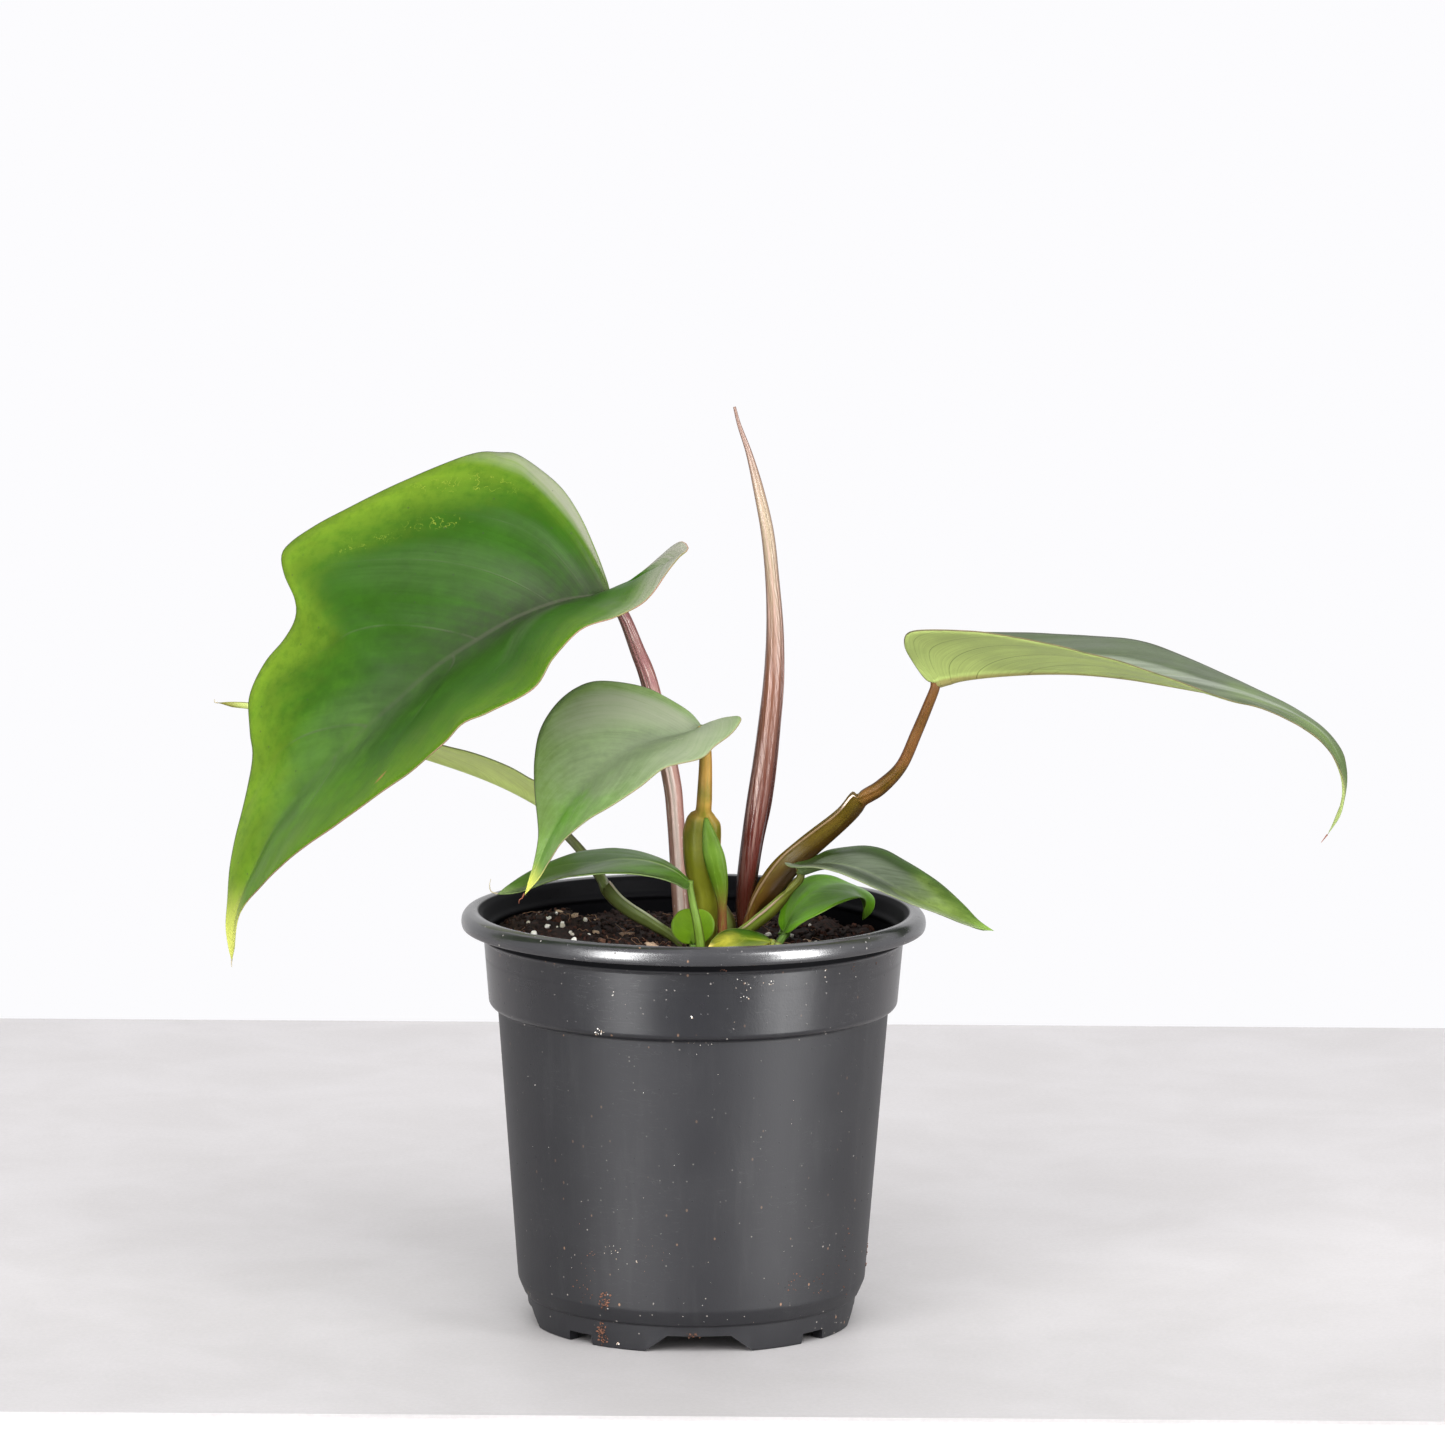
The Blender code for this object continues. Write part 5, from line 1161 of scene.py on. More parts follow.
def stalk_finish(name):
    """A stalk's skin: lengthwise streaks, pale flecks, painted shade down its sides and the thin edges of
    its sheath.
    """
    skin = STALK_SKINS[name]
    made = Finish(name + "_skin", Specular_IOR_Level=STALK_SHINE)
    along = made.field("along")
    place = made.place()
    round_about = made.joined(made.field("cosine"), made.field("sine"), made.times(along, 2.0))
    streaks = made.noise(round_about, 5.0, detail=4.0, roughness=0.65)
    blotch = made.noise(place, feature(6.0))
    root_end = skin.get("root_end", 0.35)
    made.colour = made.mix(made.between(along, root_end - 0.3, root_end), skin["root"], skin["middle"])
    made.paint(made.between(made.total(along, made.sway(blotch, -0.1, 0.1)), 0.50, 0.85), skin["top"])
    made.paint(made.between(streaks, 0.52, 0.72, 0.0, 0.75), skin["streak"])
    made.shade(made.sway(blotch, 0.88, 1.12))
    fleck = made.specks(made.place((1.0, 1.0, 0.4)), 0.9, fill=0.22, chance=0.25)
    made.paint(made.times(fleck, 0.5), skin["streak"])
    # A painted glint down the stalk's front and back, in the streak colour
    if "painted_glint" in skin:
        front = made.between(made.field("flank"), 0.10, 0.0)
        made.paint(made.times(front, made.between(along, 0.75, 0.50), skin["painted_glint"]), skin["streak"])
    # Painted shade down the stalk's left and right sides
    made.paint_flank_shade(skin.get("flank", 1.0))
    made.paint(made.times(made.field("edge"), 0.8), skin["edge"])
    made.paint(made.between(made.field("ear"), 0.2, 0.8), EAR_COLOUR)
    made.set("Roughness", made.sway(blotch, 0.32, 0.44))
    grain = made.noise(place, feature(0.4), detail=2.0)
    made.bump(made.total(made.times(streaks, 0.8), made.times(grain, 0.3)), 0.12)
    return made.finished()


def rolled_section(row, steps, ridges, share, rise):
    """Return the section of a leaf rolled round itself. It has neither ridges nor ears."""
    half_width, outer, inner = row[3:6]
    unrolled = np.linspace(0, 1, steps)
    turns = ROLL_START + ROLL_TWIST * share + 2 * math.pi * unrolled
    winding = ROLL_RIPPLES_ROUND * turns + ROLL_RIPPLES_ALONG * share
    ripple = 1 + ROLL_STEP * (unrolled - 0.5) + ROLL_RIPPLE * np.cos(winding)
    depth = (outer + inner) / 2 + EDGE_HALF
    return np.column_stack([half_width * np.cos(turns) * ripple, depth * np.sin(turns) * ripple])


def add_rolled_leaf():
    """Make the rolled new leaf that stands up in the middle."""
    rings, rows = stalk_rings(ROLLED_LEAF, ROLL_TURN_STEPS, rolled_section)
    count, around = rings.shape[:2]
    share = np.linspace(0, 1, count)[:, None]
    unrolled = np.broadcast_to(np.linspace(0, 1, around), (count, around))
    # facing: how squarely each point faces the side that gets the painted highlight
    facing = np.cos(2 * math.pi * (unrolled - ROLL_LIGHT) + ROLL_START + ROLL_TWIST * share)
    fields = {
        "along": with_ends(np.broadcast_to(share, unrolled.shape), high=1.0),
        "unrolled": with_ends(unrolled), "facing": with_ends(facing),
        "flank": with_ends(flanks(rings, rows)),
    }
    obj = add_mesh("rolled_leaf_fine", *capped_loft(rings), fields)
    weld(obj.data)
    return finish_piece(obj, [rolled_finish()], ["rolled_leaf"])


def rolled_finish():
    """Bronze-pink, redder at the foot, with slanting veins, a painted highlight down one side and a pale
    outer edge.
    """
    made = Finish("rolled_leaf_skin", Specular_IOR_Level=0.3)
    along, unrolled = made.field("along"), made.field("unrolled")
    made.colour = made.mix(made.between(along, 0.04, 0.22), ROLLED_SKIN["root"], ROLLED_SKIN["low"])
    made.paint(made.between(along, 0.22, 0.50), ROLLED_SKIN["middle"])
    made.paint(made.between(along, 0.50, 0.80), ROLLED_SKIN["high"])
    made.paint(made.between(along, 0.78, 0.95), ROLLED_SKIN["tip"])
    drawn_out = made.joined(made.times(unrolled, 14.0), made.times(along, 5.0))
    streaks = made.noise(drawn_out, 1.0, detail=4.0, roughness=0.6)
    # Pale streaks all over, much thicker as a painted highlight on the side that faces ROLL_LIGHT
    lit = made.between(made.field("facing"), 0.70, 0.99)
    streaks_and_painted_shine = made.times(made.between(streaks, 0.42, 0.66), made.total(made.times(lit, 0.75), 0.12))
    streaks_and_painted_shine = made.times(streaks_and_painted_shine, made.between(along, 0.12, 0.30), made.between(along, 0.92, 0.70))
    made.paint(streaks_and_painted_shine, ROLLED_SKIN["shine"])
    slant = made.total(made.times(unrolled, 5.0), made.times(along, -9.0))
    veins = made.times(made.peaks(slant, 3.0, 0.10), made.between(along, 0.90, 0.55))
    made.paint(made.times(veins, 0.3), ROLLED_SKIN["low"])
    seam = made.times(made.between(unrolled, 0.975, 1.0), made.between(along, 0.85, 0.60))
    made.paint(seam, ROLLED_SKIN["shine"])
    # Painted shade down the rolled leaf's left and right sides
    made.paint_flank_shade()
    made.set("Roughness", made.sway(streaks, 0.20, 0.34))
    relief = made.total(made.times(veins, -0.6), streaks)
    made.bump(made.times(relief, made.between(along, 0.95, 0.75)), 0.10)
    return made.finished()


def rounded(profile):
    """Round each corner of an open outline of (radius, height) pairs."""
    profile = np.array(profile, float)
    made = [profile[0]]
    for before, corner, after in zip(profile, profile[1:], profile[2:]):
        back, ahead = before - corner, after - corner
        start = corner + back * min(CORNER_RADIUS / np.linalg.norm(back), CORNER_SHARE)
        end = corner + ahead * min(CORNER_RADIUS / np.linalg.norm(ahead), CORNER_SHARE)
        for u in np.linspace(0, 1, CORNER_STEPS):
            made.append((1 - u) ** 2 * start + 2 * u * (1 - u) * corner + u ** 2 * end)
    made.append(profile[-1])
    return np.array(made)


def pot_inside():
    """Return the inner half section, from the middle of the floor up to the ridge under the lip."""
    floor = BASE_UNDERSIDE + WALL
    return [
        (0.0, floor), (FOOT_RADIUS + 0.6, floor), (BODY_FOOT_RADIUS - WALL, 11.5),
        (BODY_TOP_RADIUS - WALL, COLLAR_HEIGHT), (COLLAR_FOOT_RADIUS - WALL, COLLAR_HEIGHT + 1.4),
        (COLLAR_TOP_RADIUS - WALL, 97.0), (50.2, 97.5), (50.3, 98.3), (51.2, 98.9),
    ]


def pot_outside():
    """Return the outer wall's half section, from the neck under the lip down to the foot."""
    return [
        (52.5, 96.1), (COLLAR_TOP_RADIUS, 95.7), (COLLAR_FOOT_RADIUS, COLLAR_HEIGHT + 0.9),
        (COLLAR_FOOT_RADIUS - 0.7, COLLAR_HEIGHT), (BODY_TOP_RADIUS, COLLAR_HEIGHT - 0.5),
        (BODY_FOOT_RADIUS, 10.8), (FOOT_RADIUS + 1.4, FOOT_HEIGHT),
        (FOOT_RADIUS + 1.4 - FOOT_STEP, FOOT_HEIGHT - 0.15), (FOOT_RADIUS, 0.0),
    ]


def pot_profile():
    """Return the pot's half section: up its inside, over the rolled lip and down its outside."""
    lip = [
        (52.2, 101.7), (53.3, 102.7), (54.8, POT_HEIGHT), (56.4, 102.5), (57.3, 101.3), (LIP_RADIUS, 99.9),
        (57.2, 98.5), (56.1, 98.5), (56.2, 100.1), (54.9, 101.6), (53.4, 100.8), (52.8, 98.4),
    ]
    base = [(FOOT_INNER_RADIUS, 0.0), (FOOT_INNER_RADIUS + 0.6, BASE_UNDERSIDE), (0.0, BASE_UNDERSIDE)]
    return pot_inside() + lip + pot_outside() + base


def turned(profile, steps):
    """Turn an outline of (radius, height) pairs about the axis, ring by ring."""
    turns = np.linspace(0, 2 * math.pi, steps, endpoint=False)
    rings = [[(radius * math.cos(turn), radius * math.sin(turn), height) for turn in turns]
             for radius, height in profile]
    return np.array(rings).reshape(-1, 3), grid_faces(len(profile), steps, closed=True)


def notch_cutter(name, notch, turn):
    """A trapezoid bar that points along -Y, turned about the pot's axis."""
    low, high, top = notch["bottom"] / 2, notch["top"] / 2, notch["height"]
    outline = [(-low, -1.0), (low, -1.0), (low, 0.0), (high, top), (-high, top), (-low, 0.0)]
    count = len(outline)
    reaches = (NOTCH_FROM_RADIUS, NOTCH_TO_RADIUS)
    points = np.array([(x, -radius, z) for radius in reaches for x, z in outline])
    cosine, sine = math.cos(turn), math.sin(turn)
    turning = np.array([(cosine, -sine, 0), (sine, cosine, 0), (0, 0, 1)])
    faces = [(i, (i + 1) % count, (i + 1) % count + count, i + count) for i in range(count)]
    faces += [tuple(range(count - 1, -1, -1)), tuple(range(count, 2 * count))]
    return add_mesh(name, points @ turning.T, faces)


def drain_cutter(name, turn):
    """A short upright bar for one of the drain holes."""
    middle = np.array([DRAIN_CIRCLE * math.sin(turn), -DRAIN_CIRCLE * math.cos(turn), 0.0])
    path = [middle + (0, 0, BASE_UNDERSIDE - 1.0), middle + (0, 0, BASE_UNDERSIDE + WALL + 1.0)]
    points, faces = tube(path, [DRAIN_RADIUS] * 2, sides=28)
    return add_mesh(name, points, faces)


def apply_modifiers(obj):
    """Replace an object's mesh with what its modifiers make of it."""
    graph = bpy.context.evaluated_depsgraph_get()
    made = bpy.data.meshes.new_from_object(obj.evaluated_get(graph))
    obj.modifiers.clear()
    obj.data = made


def add_pot():
    """Turn the pot, then cut the notches of its foot and its drain holes."""
    points, faces = turned(rounded(pot_profile()), POT_STEPS)
    pot = add_mesh("pot_moulded", points, faces)
    weld(pot.data)
    cutters = bpy.data.collections.new("pot_cutters")
    bpy.context.scene.collection.children.link(cutters)
    for quarter in range(4):
        turn = NOTCH_START + quarter * math.pi / 2
        made = [notch_cutter(f"{kind}_{quarter}", notch, turn + notch["turn"])
                for kind, notch in NOTCHES.items()]
        for cutter in [*made, drain_cutter(f"drain_{quarter}", turn)]:
            weld(cutter.data)
            cutters.objects.link(cutter)
    cut = pot.modifiers.new("cut", "BOOLEAN")
    cut.operation = "DIFFERENCE"
    cut.operand_type = "COLLECTION"
    cut.collection = cutters
    cut.solver = "EXACT"
    apply_modifiers(pot)
    for cutter in list(cutters.objects):
        bpy.data.objects.remove(cutter, do_unlink=True)
    bpy.data.collections.remove(cutters)
    finish_piece(pot, [pot_finish()], ["pot"])
    pot.data.set_sharp_from_angle(angle=SHARP_ANGLE)
    return pot


def pot_finish():
    """Dark moulded plastic with a dusty film, fine specks and hair-thin scratches, with painted shade
    inside.
    """
    made = Finish("pot_plastic_worn")
    place = made.place()
    height = made.add("ShaderNodeSeparateXYZ", {0: place}, output=2)
    inside = pot_inside_share(made, place, height)
    on_lip = made.level(height, 95.5, 98.5)
    glossy = made.total(made.level(height, *COLLAR_BLEND, 0.42, 0.55), made.times(on_lip, 0.45))
    made.set("Specular IOR Level", made.times(glossy, made.math("MULTIPLY_ADD", inside, -0.95, 1.0)))
    film = made.noise(place, feature(26.0), detail=5.0, roughness=0.6)
    runs = made.noise(made.place((1.0, 1.0, 0.12)), feature(5.0), detail=4.0, roughness=0.6)
    grain = made.noise(place, feature(0.5))
    dirt = made.total(0.15, made.times(made.level(height, 45.0, 6.0), 0.6),
                      made.times(made.level(made.off(height, 78.5 * MM), 3.5, 0.0), 0.6),
                      made.times(made.level(height, 88.0, 100.0), 0.45))
    made.colour = made.mix(made.between(film, 0.35, 0.75, 0.0, 0.5), POT_COLOUR, POT_FILM)
    made.paint(made.between(runs, 0.5, 0.8, 0.0, 0.35), POT_RUNS)
    patch = made.between(made.noise(place, feature(7.0)), 0.42, 0.62)
    pale = made.total(made.specks(place, 1.6, fill=0.16, chance=0.30),
                      made.specks(place, 3.2, fill=0.09, chance=0.35))
    made.paint(made.times(pale, patch, dirt, 1.3), PALE_SPECK)
    tan = made.specks(made.place((1.0, 1.0, 0.7)), 2.3, fill=0.15, chance=0.16)
    made.paint(made.times(tan, dirt, 1.2), TAN_SPECK)
    scratch = made.noise(made.place((0.25, 0.25, 1.7)), feature(3.0), detail=2.0, distortion=1.5)
    hair = made.times(made.between(made.off(scratch, 0.5), 0.006, 0.0), made.between(film, 0.48, 0.60),
                      made.level(height, 70.0, 100.0, 0.25, 1.0))
    made.paint(made.times(hair, 0.22), SCRATCH_COLOUR)
    # Painted shade on the pot's inner faces, which also get less gloss and more roughness
    made.paint(inside, POT_INSIDE_SHADE)
    wear = made.total(made.level(height, *COLLAR_BLEND, 0.52, 0.28), made.times(on_lip, -0.04))
    made.set("Roughness", made.total(wear, made.sway(film, -0.02, 0.04), made.times(pale, 0.3),
                                     made.times(inside, 0.35)))
    made.bump(made.total(made.times(grain, 0.35), made.times(runs, 0.3), made.times(pale, 0.6)), 0.05)
    return made.finished()


def pot_inside_share(made, place, height):
    """Tell the pot's inner faces by how far they are from its axis and how high."""
    across = made.add("ShaderNodeVectorMath", {0: place, 1: (1.0, 1.0, 0.0), 2: tuple(-AXIS)},
                      operation="MULTIPLY_ADD")
    radius = made.add("ShaderNodeVectorMath", {0: across}, output=1, operation="LENGTH")
    wall = made.times(made.level(radius, 51.6, 51.2), made.level(height, 90.5, 91.5))
    lip = made.times(made.level(radius, 53.8, 53.1), made.level(height, 96.0, 96.6))
    return made.math("MAXIMUM", wall, lip)


def soil_height(x, y):
    """The soil's uneven surface, with the mound on its left."""
    away = ((x - MOUND["x"]) ** 2 + (y - MOUND["y"]) ** 2) / (2 * MOUND["spread"] ** 2)
    ripple = 0.5 * math.sin(0.31 * x + 1.0) * math.cos(0.27 * y) + 0.3 * math.sin(0.7 * x - 0.5 * y)
    return SOIL_LEVEL + MOUND["height"] * math.exp(-away) + ripple


def lumpy_soil_height(x, y):
    """The same surface with its clods and lumps."""
    clods = noise.noise(Vector((x / 5.0, y / 5.0, 3.0))) + 0.5 * noise.noise(Vector((x / 1.9, y / 1.9, 7.0)))
    return soil_height(x, y) + 0.9 * clods + 0.3 * noise.noise(Vector((x / 0.9, y / 0.9, 1.0)))


def add_soil():
    """Fill the pot's inside, a clearance from its wall, up to the lumpy surface."""
    floor = BASE_UNDERSIDE + WALL
    wall = pot_inside()[1:5]
    outline = [(0.0, floor + CLEARANCE), (wall[0][0] - SOIL_TAPER, floor + CLEARANCE)]
    outline += [(radius - CLEARANCE, height + CLEARANCE / 2) for radius, height in wall[1:]]
    top_radius = COLLAR_TOP_RADIUS - WALL - CLEARANCE - SOIL_TAPER
    outline += [(top_radius * (1 - ring / SOIL_RINGS), 0.0) for ring in range(SOIL_RINGS + 1)]
    points, faces = turned(outline, SOIL_STEPS)
    surface = len(outline) - SOIL_RINGS - 1
    for index in range(surface * SOIL_STEPS, len(points)):
        x, y = points[index, :2]
        points[index, 2] = lumpy_soil_height(x, y)
    obj = add_mesh("soil_bed", points, faces)
    weld(obj.data)
    return finish_piece(obj, [peat_finish("peat")], ["soil"])


def peat_finish(name):
    """Dark damp peat with reddish and black crumbs."""
    made = Finish(name, Roughness=0.9, Specular_IOR_Level=0.25)
    place = made.place()
    clumps = made.noise(place, feature(1.1), detail=5.0, roughness=0.7)
    clods = made.noise(place, feature(6.0))
    made.colour = made.mix(made.between(clumps, 0.35, 0.70), (0.006, 0.0035, 0.003), (0.030, 0.012, 0.008))
    made.paint(made.between(made.field("tint"), 0.55, 1.0, 0.0, 0.75), (0.085, 0.030, 0.017))
    made.paint(made.between(clods, 0.55, 0.75, 0.0, 0.4), (0.040, 0.020, 0.013))
    made.bump(clumps, 0.5)
    return made.finished()


def grain_finish(name, dark, pale, roughness):
    """A grain whose colour goes from dark to pale with its own tint and a fine mottle."""
    made = Finish(name, Roughness=roughness, Specular_IOR_Level=0.3)
    mottle = made.noise(made.place(), feature(0.7), detail=4.0, roughness=0.6)
    share = made.times(made.total(made.field("tint"), mottle), 0.5)
    made.colour = made.mix(made.between(share, 0.25, 0.65), dark, pale)
    made.bump(mottle, 0.2)
    return made.finished()


def lump_template(subdivisions):
    """Return the points and faces of a unit ball made of triangles."""
    work = bmesh.new()
    bmesh.ops.create_icosphere(work, subdivisions=subdivisions, radius=1.0)
    points = np.array([tuple(vertex.co) for vertex in work.verts])
    faces = [tuple(vertex.index for vertex in face.verts) for face in work.faces]
    work.free()
    return points, faces


def random_turning(draw):
    """Return a random rotation."""
    axis = Vector([draw.gauss(0, 1) for _ in range(3)])
    return Matrix.Rotation(draw.uniform(0, 2 * math.pi), 3, axis.normalized())


def flat_turning(draw):
    """Return a random rotation that leaves a chip lying nearly flat."""
    turn = Matrix.Rotation(draw.uniform(0, 2 * math.pi), 3, "Z")
    tilt = Matrix.Rotation(draw.uniform(-0.4, 0.4), 3, "X")
    return turn @ tilt @ Matrix.Rotation(draw.uniform(-0.3, 0.3), 3, "Y")


def lumps(name, places, sizes, draw, material, swell, turning=random_turning, subdivisions=2):
    """Make one piece of many irregular lumps, each with its own place, sizes and tint."""
    ball, ball_faces = lump_template(subdivisions)
    shapes, tints = [], []
    for place, size in zip(places, sizes):
        swollen = ball * np.array([draw.uniform(*swell) for _ in ball])[:, None] * size
        shapes.append((place + swollen @ np.array(turning(draw)).T, ball_faces))
        tints.append(np.full(len(ball), draw.random()))
    points, faces = joined_shapes(shapes)
    obj = add_mesh(name, points, faces, {"tint": np.concatenate(tints)})
    return finish_piece(obj, [material])


def soil_places(count, draw, reach, lift):
    """Draw places on the soil's surface, evenly over its disc."""
    places = []
    for _ in range(count):
        radius = reach * math.sqrt(draw.random())
        turn = draw.uniform(0, 2 * math.pi)
        x, y = radius * math.cos(turn), radius * math.sin(turn)
        places.append(np.array([x, y, lumpy_soil_height(x, y) + lift]))
    return places


def add_crumbs(draw):
    """Scatter peat crumbs over the soil, some of them larger."""
    places = soil_places(CRUMB_COUNT, draw, CRUMB_REACH, 0.15)
    sizes = [np.array([draw.uniform(0.3, 0.8), draw.uniform(0.25, 0.65), draw.uniform(0.25, 0.5)])
             * (LARGE_CRUMB if draw.random() < LARGE_CRUMB_CHANCE else 1.0) for _ in places]
    lumps("peat_crumbs", places, sizes, draw, peat_finish("peat_crumb"), (0.7, 1.3))


def add_grains(name, kind, draw, material, swell, turning=random_turning):
    """Lay grains of one kind where the photograph shows them, and loose ones at random."""
    places = [np.array([x, y, lumpy_soil_height(x, y) + kind["lift"]]) for x, y, _ in kind["spots"]]
    sizes = [np.array(kind["shape"]) * half for _, _, half in kind["spots"]]
    places += soil_places(kind["loose"], draw, kind["reach"], 0.2)
    sizes += [np.array(kind["loose_shape"]) * draw.uniform(*kind["loose_halves"])
              for _ in range(kind["loose"])]
    lumps(name, places, sizes, draw, material, swell, turning)


def add_soil_grains():
    """Scatter peat crumbs, perlite, bark and fine roots over the soil."""
    draw = random.Random(SEED)
    add_crumbs(draw)
    perlite = grain_finish("perlite", (0.56, 0.51, 0.42), (0.88, 0.86, 0.80), 0.7)
    add_grains("perlite_grains", PERLITE, draw, perlite, (0.78, 1.22))
    bark = grain_finish("bark", (0.10, 0.040, 0.020), (0.52, 0.37, 0.25), 0.75)
    add_grains("bark_chips", BARK, draw, bark, (0.72, 1.25), flat_turning)
    add_fibres(draw)


def add_fibres(draw):
    """Lay thin dark root fibres over the crumbs."""
    shapes = []
    for place in soil_places(FIBRE_COUNT, draw, FIBRE_REACH, 0.5):
        turn = draw.uniform(0, 2 * math.pi)
        length = draw.uniform(2.0, 7.0)
        bend = draw.uniform(-1.2, 1.2)
        path = []
        for step in np.linspace(-0.5, 0.5, 8):
            way = turn + bend * step
            x, y = place[0] + length * step * math.cos(way), place[1] + length * step * math.sin(way)
            path.append((x, y, lumpy_soil_height(x, y) + 0.45 + 0.5 * draw.random()))
        shapes.append(tube(smooth_rows(path, FIBRE_RINGS), [FIBRE_RADIUS] * FIBRE_RINGS, sides=5))
    points, faces = joined_shapes(shapes)
    obj = add_mesh("root_fibres", points, faces, {"tint": np.full(len(points), 0.6)})
    fibre = grain_finish("root_fibre", (0.05, 0.025, 0.015), (0.22, 0.12, 0.07), 0.8)
    return finish_piece(obj, [fibre])


def wall_radius(height):
    """Return the radius of the pot's outer wall at a height."""
    radii, levels = zip(*pot_outside()[::-1])
    return float(np.interp(height, levels, radii))


def wall_places(clusters, draw):
    """Draw places on the wall for every crumb of every cluster."""
    places, sizes = [], []
    for turn, height, count, turn_spread, height_spread, size in clusters:
        for _ in range(count):
            angle = math.radians(draw.gauss(turn, turn_spread))
            level = min(max(draw.gauss(height, height_spread), 0.4), 98.0)
            radius = wall_radius(level)
            places.append(np.array([radius * math.sin(angle), -radius * math.cos(angle), level]))
            sizes.append(np.array([1.0, 0.8, 0.6]) * size * draw.uniform(0.6, 1.3))
    return places, sizes


def add_wall_crumbs():
    """Stick crumbs of peat and grains of pale dust to the pot's wall."""
    draw = random.Random(SEED + 1)
    places, sizes = wall_places(WALL_CRUMBS, draw)
    brown = grain_finish("wall_crumb", (0.030, 0.014, 0.009), (0.17, 0.072, 0.042), 0.85)
    lumps("peat_on_pot", places, sizes, draw, brown, (0.7, 1.3), subdivisions=1)
    loose = [(draw.uniform(-180, 180), 6 + 90 * draw.random() ** 1.6, 1, 0.0, 0.0, draw.uniform(0.05, 0.12))
             for _ in range(LOOSE_DUST)]
    places, sizes = wall_places(WALL_DUST + loose, draw)
    pale = grain_finish("wall_dust", (0.30, 0.22, 0.16), (0.80, 0.76, 0.70), 0.8)
    lumps("dust_on_pot", places, sizes, draw, pale, (0.75, 1.25), subdivisions=1)


def add_threads():
    """Give the blades their dried, hair-fine drip tips."""
    radii = np.linspace(THREAD_RADIUS, THREAD_TIP_RADIUS, THREAD_RINGS)
    shapes = [tube(smooth_rows(path, THREAD_RINGS), radii, sides=8) for _, path in THREADS]
    tints = [np.full(len(shape[0]), tint) for shape, (tint, _) in zip(shapes, THREADS)]
    points, faces = joined_shapes(shapes)
    obj = add_mesh("drip_tips", points, faces, {"tint": np.concatenate(tints)})
    dry = grain_finish("dry_tip", (0.19, 0.05, 0.02), (0.36, 0.31, 0.20), 0.55)
    return finish_piece(obj, [dry])


def add_table():
    """The pale table, a slab with a softened front edge."""
    mesh = bpy.data.meshes.new("table")
    work = bmesh.new()
    bmesh.ops.create_cube(work, size=1.0)
    middle = Vector((0.0, (TABLE_FRONT + TABLE_BACK) / 2, -TABLE_THICKNESS / 2))
    size = Vector((2 * TABLE_HALF_WIDTH, TABLE_BACK - TABLE_FRONT, TABLE_THICKNESS))
    for vertex in work.verts:
        vertex.co = (Vector(vertex.co * size) + middle) * MM + Vector(AXIS)
    bmesh.ops.bevel(work, geom=list(work.edges), offset=TABLE_BEVEL * MM, segments=3, affect="EDGES")
    work.to_mesh(mesh)
    work.free()
    table = bpy.data.objects.new("table", mesh)
    bpy.context.scene.collection.objects.link(table)
    mesh.materials.append(table_finish())
    mesh.shade_smooth()
    mesh.set_sharp_from_angle(angle=SHARP_ANGLE)


def table_finish():
    """Pale grey board with a soft, cloudy print, painted shade that darkens it towards its front, and a
    white edge.
    """
    made = Finish("table_top", Roughness=0.55)
    place = made.place()
    clouds = made.noise(place, feature(45.0), detail=6.0, roughness=0.62, distortion=0.4)
    grain = made.noise(place, feature(1.2), detail=4.0, roughness=0.7)
    made.colour = made.mix(made.between(clouds, 0.30, 0.72), (0.424, 0.408, 0.408), (0.464, 0.448, 0.451))
    back = made.add("ShaderNodeSeparateXYZ", {0: place}, output=1)
    # Painted shade: the board darkens towards its front edge
    made.shade(made.times(made.sway(grain, 0.96, 1.03), made.level(back, 120.0, -110.0, 1.0, 0.82)))
    front = TABLE_FRONT + float(AXIS[1]) / MM
    made.paint(made.level(back, front + 1.2, front + 0.4), (0.82, 0.81, 0.80))
    made.bump(grain, 0.05)
    return made.finished()


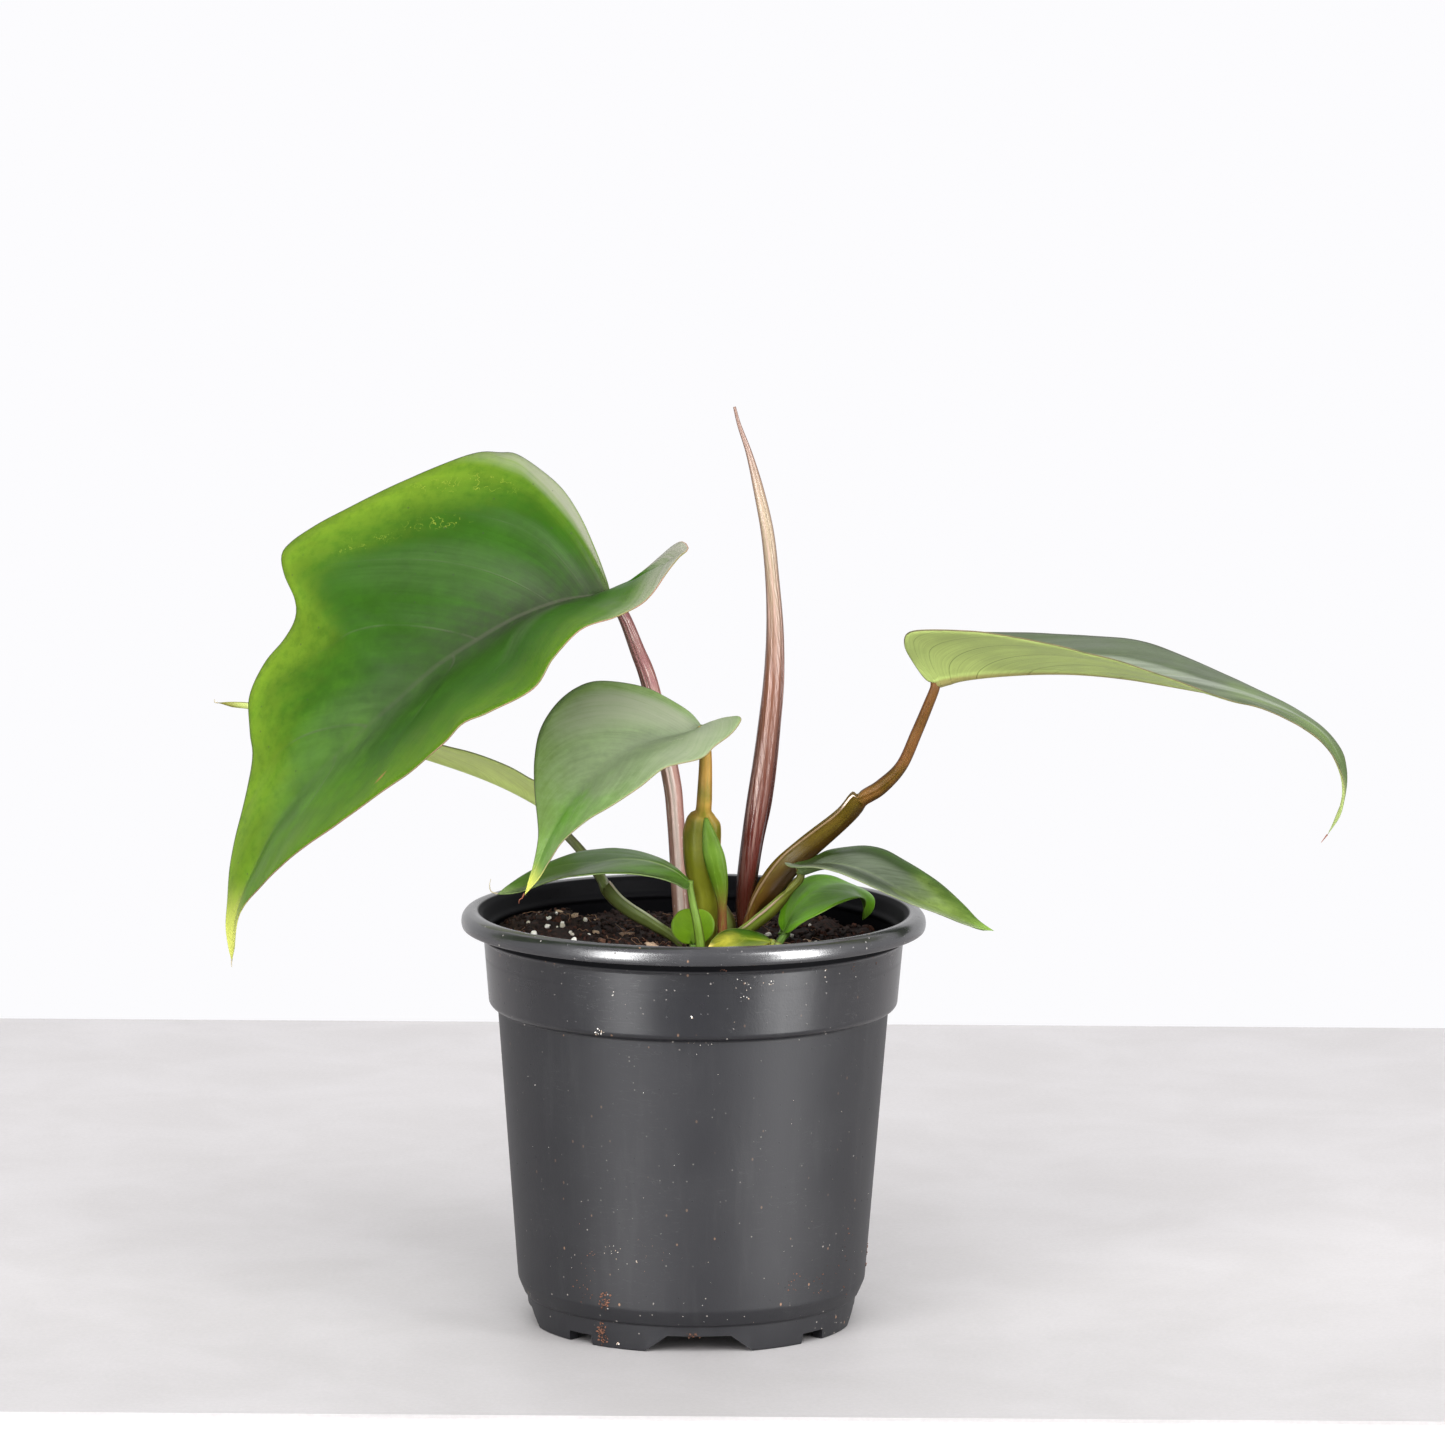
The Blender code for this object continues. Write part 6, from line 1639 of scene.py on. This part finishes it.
def add_world():
    """A near-white backdrop that lights the plant mostly from behind and above."""
    world = bpy.data.worlds.new("backdrop")
    world.use_nodes = True
    tree = world.node_tree
    background = tree.nodes["Background"]
    background.inputs["Color"].default_value = (*BACKDROP_COLOUR, 1.0)
    here = tree.nodes.new("ShaderNodeTexCoord")
    brightness = tree.nodes.new("ShaderNodeVectorMath")
    brightness.operation = "DOT_PRODUCT"
    brightness.inputs[1].default_value = BRIGHT_SIDE
    tree.links.new(here.outputs["Generated"], brightness.inputs[0])
    light = tree.nodes.new("ShaderNodeMapRange")
    for socket, value in (("From Min", 0.0), ("From Max", BRIGHT_FULL),
                          ("To Min", ROOM_LIGHT), ("To Max", BACKDROP_LIGHT)):
        light.inputs[socket].default_value = value
    tree.links.new(brightness.outputs["Value"], light.inputs["Value"])
    rays = tree.nodes.new("ShaderNodeLightPath")
    strength = tree.nodes.new("ShaderNodeMapRange")
    strength.inputs["To Max"].default_value = BACKDROP_SEEN
    tree.links.new(light.outputs[0], strength.inputs["To Min"])
    tree.links.new(rays.outputs["Is Camera Ray"], strength.inputs["Value"])
    tree.links.new(strength.outputs[0], background.inputs["Strength"])
    bpy.context.scene.world = world
    bpy.context.scene.view_settings.view_transform = "Standard"


def add_softbox(name, turn, rise, distance, width, height, watts):
    """Add a softbox that points at the middle of the plant."""
    light = bpy.data.lights.new(name, "AREA")
    light.shape = "RECTANGLE"
    light.size = width * MM
    light.size_y = height * MM
    light.energy = watts
    target = Vector(to_frame([LIT_MIDDLE])[0])
    turn, rise = math.radians(turn), math.radians(rise)
    away = Vector((math.sin(turn) * math.cos(rise), -math.cos(turn) * math.cos(rise), math.sin(rise)))
    obj = bpy.data.objects.new(name, light)
    obj.location = target + away * distance * MM
    obj.rotation_euler = away.to_track_quat("Z", "Y").to_euler()
    obj.visible_camera = False
    bpy.context.scene.collection.objects.link(obj)
    return obj


def add_camera():
    """Look at the plant from where the photograph was taken."""
    camera = bpy.data.cameras.new("photograph")
    camera.sensor_width = SENSOR_WIDTH
    camera.lens = FOCAL_PIXELS / PHOTO_PIXELS * SENSOR_WIDTH
    obj = bpy.data.objects.new("photograph", camera)
    bpy.context.scene.collection.objects.link(obj)
    place = Matrix.Translation(Vector(to_frame([CAMERA_PLACE])[0]))
    tilt = Matrix.Rotation(math.pi / 2 - CAMERA_PITCH, 4, "X")
    obj.matrix_world = place @ tilt @ Matrix.Rotation(CAMERA_ROLL, 4, "Z")
    bpy.context.scene.camera = obj


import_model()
AXIS = pot_axis()

add_camera()
add_world()
for softbox, values in SOFTBOXES.items():
    add_softbox(softbox, *values)
for highlight, values in HIGHLIGHTS.items():
    add_softbox(highlight, *values).visible_diffuse = False
add_softbox("front_fill", *FRONT_FILL).visible_glossy = False
add_table()
add_pot()
add_wall_crumbs()
add_soil()
add_soil_grains()
for name, leaf in LEAVES.items():
    add_blade(name, leaf)
for name, stalk in STALKS.items():
    leaf = LEAVES.get(name.replace("_petiole", ""))
    add_stalk(name, stalk, leaf["midrib"][0] if leaf else None)
add_rolled_leaf()
add_threads()
